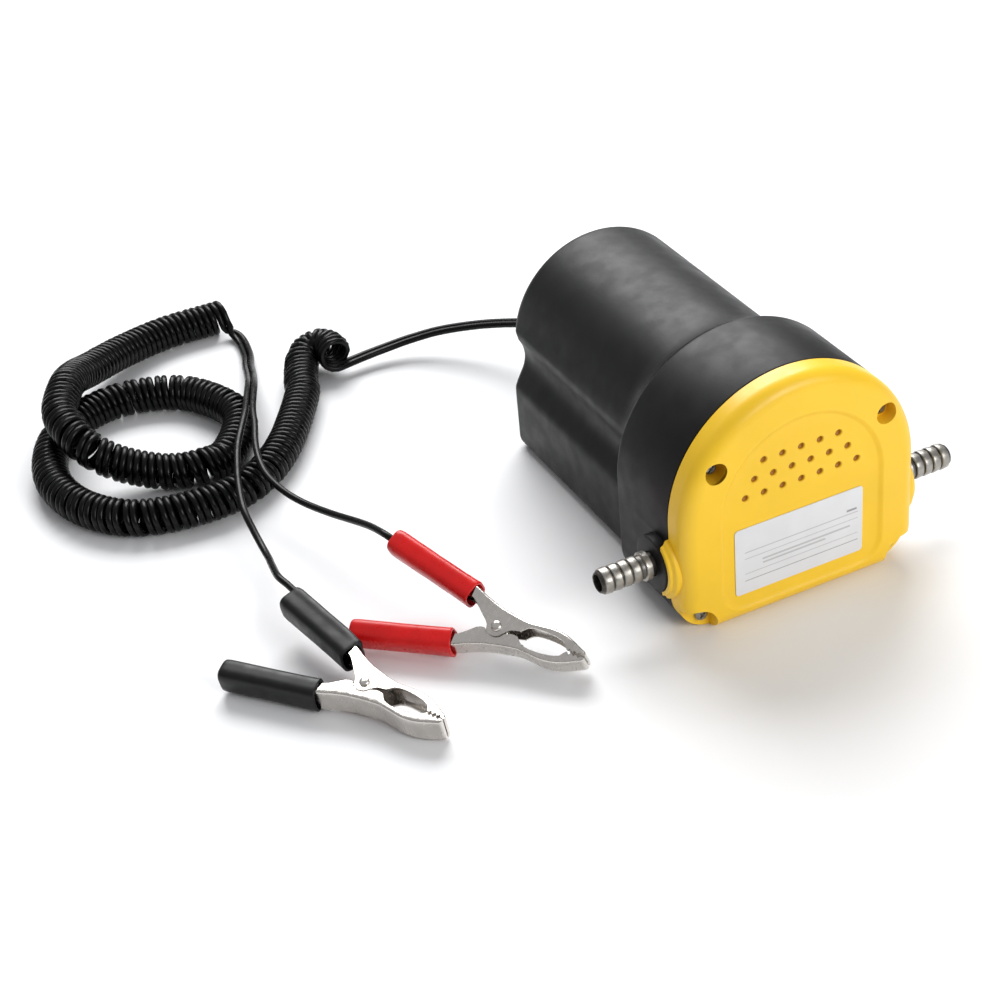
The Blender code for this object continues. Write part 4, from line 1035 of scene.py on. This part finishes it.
def clip(colour, pose, vinyl, metal, ridge):
    """A whole clip. The half with the wired handle stays with the pump's body, and the other half opens."""
    fixed = clip_matrix(pose)
    opened = fixed @ Matrix.Diagonal((1, -1, 1, 1))
    half = f"{colour}_clip_half"
    pieces = {
        "fixed_jaw": clip_jaw(f"{colour}_jaw_fixed", fixed, True, metal),
        "moving_jaw": clip_jaw(f"{colour}_jaw_moving", opened, False, metal),
        "sleeve_wired": clip_sleeve(f"{colour}_grip_wired", fixed, vinyl, ridge),
        "sleeve_free": clip_sleeve(f"{colour}_grip_free", opened, vinyl),
        "rivet": clip_rivet(f"{colour}_clip_rivet", fixed, metal),
    }
    for packed, thing in pieces.items():
        slot = f"{colour}_vinyl" if packed.startswith("sleeve") else "nickel"
        body = half if packed in ("moving_jaw", "sleeve_free") else "pump"
        stand_for(thing, slot, f"{colour}_{packed}", body=body)
    spring = clip_spring(f"{colour}_clip_spring", fixed, metal)
    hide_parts(f"{colour}_spring")
    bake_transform(spring)
    return [*pieces.values(), spring]


# -------- lead

def frames_along(points):
    """(heading, sideways, upwards) at each point of a mostly level line."""
    frames = []
    for i in range(len(points)):
        heading = (points[min(i + 1, len(points) - 1)] - points[max(i - 1, 0)]).normalized()
        sideways = Vector((0, 0, 1)).cross(heading).normalized()
        frames.append((heading, sideways, heading.cross(sideways)))
    return frames


def bend_radius(points, i, reach):
    """Radius of the circle through three points of a line."""
    a = points[max(i - reach, 0)]
    b = points[i]
    c = points[min(i + reach, len(points) - 1)]
    area = (b - a).cross(c - a).length
    if area < 1e-12:
        return 1e3
    return (b - a).length * (c - b).length * (c - a).length / (2 * area)


def winding():
    """The pair's middle line in the curly stretch, with the direction outwards from the coil's axis."""
    step = 0.36 * MM
    axis = smooth_route(route_from_mm(COIL_ROUTE), step)
    frames = frames_along(axis)
    rates = []
    for i in range(len(axis)):
        radius = bend_radius(axis, i, 24)
        hooked = min(1.0, max(0.0, (22 * MM - radius) / (8 * MM)))
        room = min(0.2, 0.75 * COIL_RADIUS / radius) * (1 - hooked) - 0.45 * hooked
        gather = 1 + 0.6 * room * sin(i * step / (5.2 * MM)) * sin(i * step / (17 * MM))
        rates.append(2 * pi / COIL_PITCH * (1 - room) * gather)
    total = sum(rates) * step
    turns = round((total + COIL_SHORT) / (2 * pi))
    rates = [rate * (2 * pi * turns - COIL_SHORT) / total for rate in rates]
    angle = -pi / 2
    line = []
    outwards = []
    for point, (heading, sideways, upwards), rate in zip(axis, frames, rates):
        outward = sideways * cos(angle) + upwards * sin(angle)
        line.append(point + outward * COIL_RADIUS)
        outwards.append(outward)
        angle += rate * step
    return line, outwards


def nearest(points, place):
    """Index of the point nearest to a place."""
    return min(range(len(points)), key=lambda i: (points[i] - place).length)


def lead_lines():
    """The middle lines of the two cores, from the strain relief to where they part."""
    coil, coil_outwards = winding()
    supply = smooth_route([*route_from_mm(SUPPLY_ROUTE), coil[0], coil[1]], ROUTE_STEP)
    supply = supply[: nearest(supply, coil[0])]
    tail = smooth_route([coil[-2], coil[-1], *route_from_mm(TAIL_ROUTE)], ROUTE_STEP)
    tail = tail[nearest(tail, coil[-1]) + 1 :]
    line = supply + coil + tail
    outwards = [-upwards for heading, sideways, upwards in frames_along(supply)]
    for i in range(1, 7):
        outwards[-i] = outwards[-i].lerp(coil_outwards[0], 1 - i / 7).normalized()
    outwards += coil_outwards
    for i, (heading, sideways, upwards) in enumerate(frames_along(tail)):
        outwards.append(coil_outwards[-1].lerp(-upwards, min(1.0, i / 9)).normalized())
    first = []
    second = []
    for point, outward, (heading, sideways, upwards) in zip(line, outwards, frames_along(line)):
        across = outward.cross(heading).normalized() * CORE_SPACING / 2
        first.append(point - across)
        second.append(point + across)
    return first, second


def line_length(points):
    return sum((b - a).length for a, b in zip(points, points[1:]))


def core(name, start, route, inside, look):
    """One core from the strain relief to the inside of its clip's sleeve."""
    parted = smooth_route([start[-8], start[-4], *route_from_mm(route), *inside], ROUTE_STEP)
    whole = start[:-4] + parted[nearest(parted, start[-4]) :]
    return tube(name, whole, CORE_DIAMETER, look, 3), line_length(whole)


def lead(look):
    """Both cores. Each one's last stretch is hidden in its clip's wired sleeve."""
    first, second = lead_lines()
    red_inside = [wire_entry(RED_CLIP, short, 0, 0.3) for short in (-5, 1, 10, 22, 34)]
    entries = ((-12, 4.2, 1.8), (-5, 4, 2.4), (2, 3.6, 2.4), (10, 2.2, 1.6), (20, 0.4, 0.4), (34, 0, 0))
    black_inside = [wire_entry(BLACK_CLIP, *entry) for entry in entries]
    red, red_length = core("red_core", first, RED_ROUTE, red_inside, look)
    black, black_length = core("black_core", second, BLACK_ROUTE, black_inside, look)
    stand_for(red, "black_vinyl", "supply_cord", "coil_cord", "cord_tail", "red_lead")
    stand_for(black, "black_vinyl", "black_lead")


# -------- the whole pump

def finish_inside(looks):
    """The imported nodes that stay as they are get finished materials."""
    kinds = {
        "pump_plastic": ("pump_body",),
        "black_rubber": ("pump_gasket", "shaft_seal"),
        "steel": ("pump_plate", *(f"plate_screw_{number}" for number in range(1, 5)), "motor_screw_left",
                  "motor_screw_right", "drive_gear", "idler_gear", "motor_can"),
        "dark_steel": ("idler_pin", "magnet_left", "magnet_right", "armature_core"),
        "copper": ("armature_winding", "commutator"),
        "carbon": ("brush_left", "brush_right"),
        "black_plastic": ("motor_end_cap",),
        "nickel": ("front_bearing", "rear_bearing", "motor_shaft"),
    }
    for kind, names in kinds.items():
        for name in names:
            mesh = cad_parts[name].data
            mesh.materials.clear()
            mesh.materials.append(looks[kind])


def main():
    camera()
    studio()
    yellow = moulded_yellow()
    black = moulded_black()
    metal = nickel_plate()
    steel = plain_metal("zinc_steel", (0.42, 0.41, 0.39), 0.28, 0.45)
    finish_inside({
        "pump_plastic": moulded_black("pump_plastic", 0.6 * MM, 0.03 * MM),
        "black_rubber": moulded_black("black_rubber", 0.3 * MM, 0.02 * MM, 0.6, 0.75),
        "steel": steel,
        "dark_steel": plain_metal("dark_steel", (0.16, 0.16, 0.16), 0.3, 0.5),
        "copper": plain_metal("copper", (0.72, 0.31, 0.16), 0.25, 0.4),
        "carbon": moulded_black("carbon", 0.2 * MM, 0.02 * MM, 0.5, 0.7),
        "black_plastic": black,
        "nickel": metal,
    })
    stand_for(housing(black), "black_plastic", "rear_housing")
    stand_for(cover(yellow), "yellow_plastic", "front_cover")
    screw_steel = plain_metal("screw_steel", (0.3, 0.29, 0.27), 0.25, 0.45)
    for number, (x, z, seat, angle) in enumerate(screw_places(), 1):
        screw = cover_screw(f"case_screw_{number}", x, z, seat, screw_steel)
        stand_for(screw, "zinc_steel", f"cover_screw_{number}")
    stand_for(label(paper_label()), "white_vinyl", "rating_label")
    for name, side in (("inlet_barb", -1), ("outlet_barb", 1)):
        barb = hose_barb(f"{name}_tail", side, zinc_barb(f"{name}_zinc"))
        stand_for(barb, "zinc_steel", name)
    switch_black = moulded_black("switch_plastic", 0.3 * MM, 0.012 * MM, 0.28, 0.38)
    stand_for(switch_frame(switch_black), "black_plastic", "rocker_body")
    stand_for(switch_rocker(switch_black), "black_plastic", "rocker_button", body="switch_button")
    rubber = moulded_black("boot_rubber", 0.4 * MM, 0.02 * MM, 0.5, 0.65)
    stand_for(relief_boot(rubber), "black_rubber", "strain_relief")
    red_vinyl = sleeve_vinyl("red_vinyl", (0.6, 0.008, 0.008), 0.24, 0.36)
    black_vinyl = sleeve_vinyl("black_vinyl", (0.004, 0.004, 0.0043), 0.34, 0.46)
    red_pieces = clip("red", RED_CLIP, red_vinyl, metal, 0.0)
    black_pieces = clip("black", BLACK_CLIP, black_vinyl, metal, 1.4)
    lead(cord_vinyl())


main()
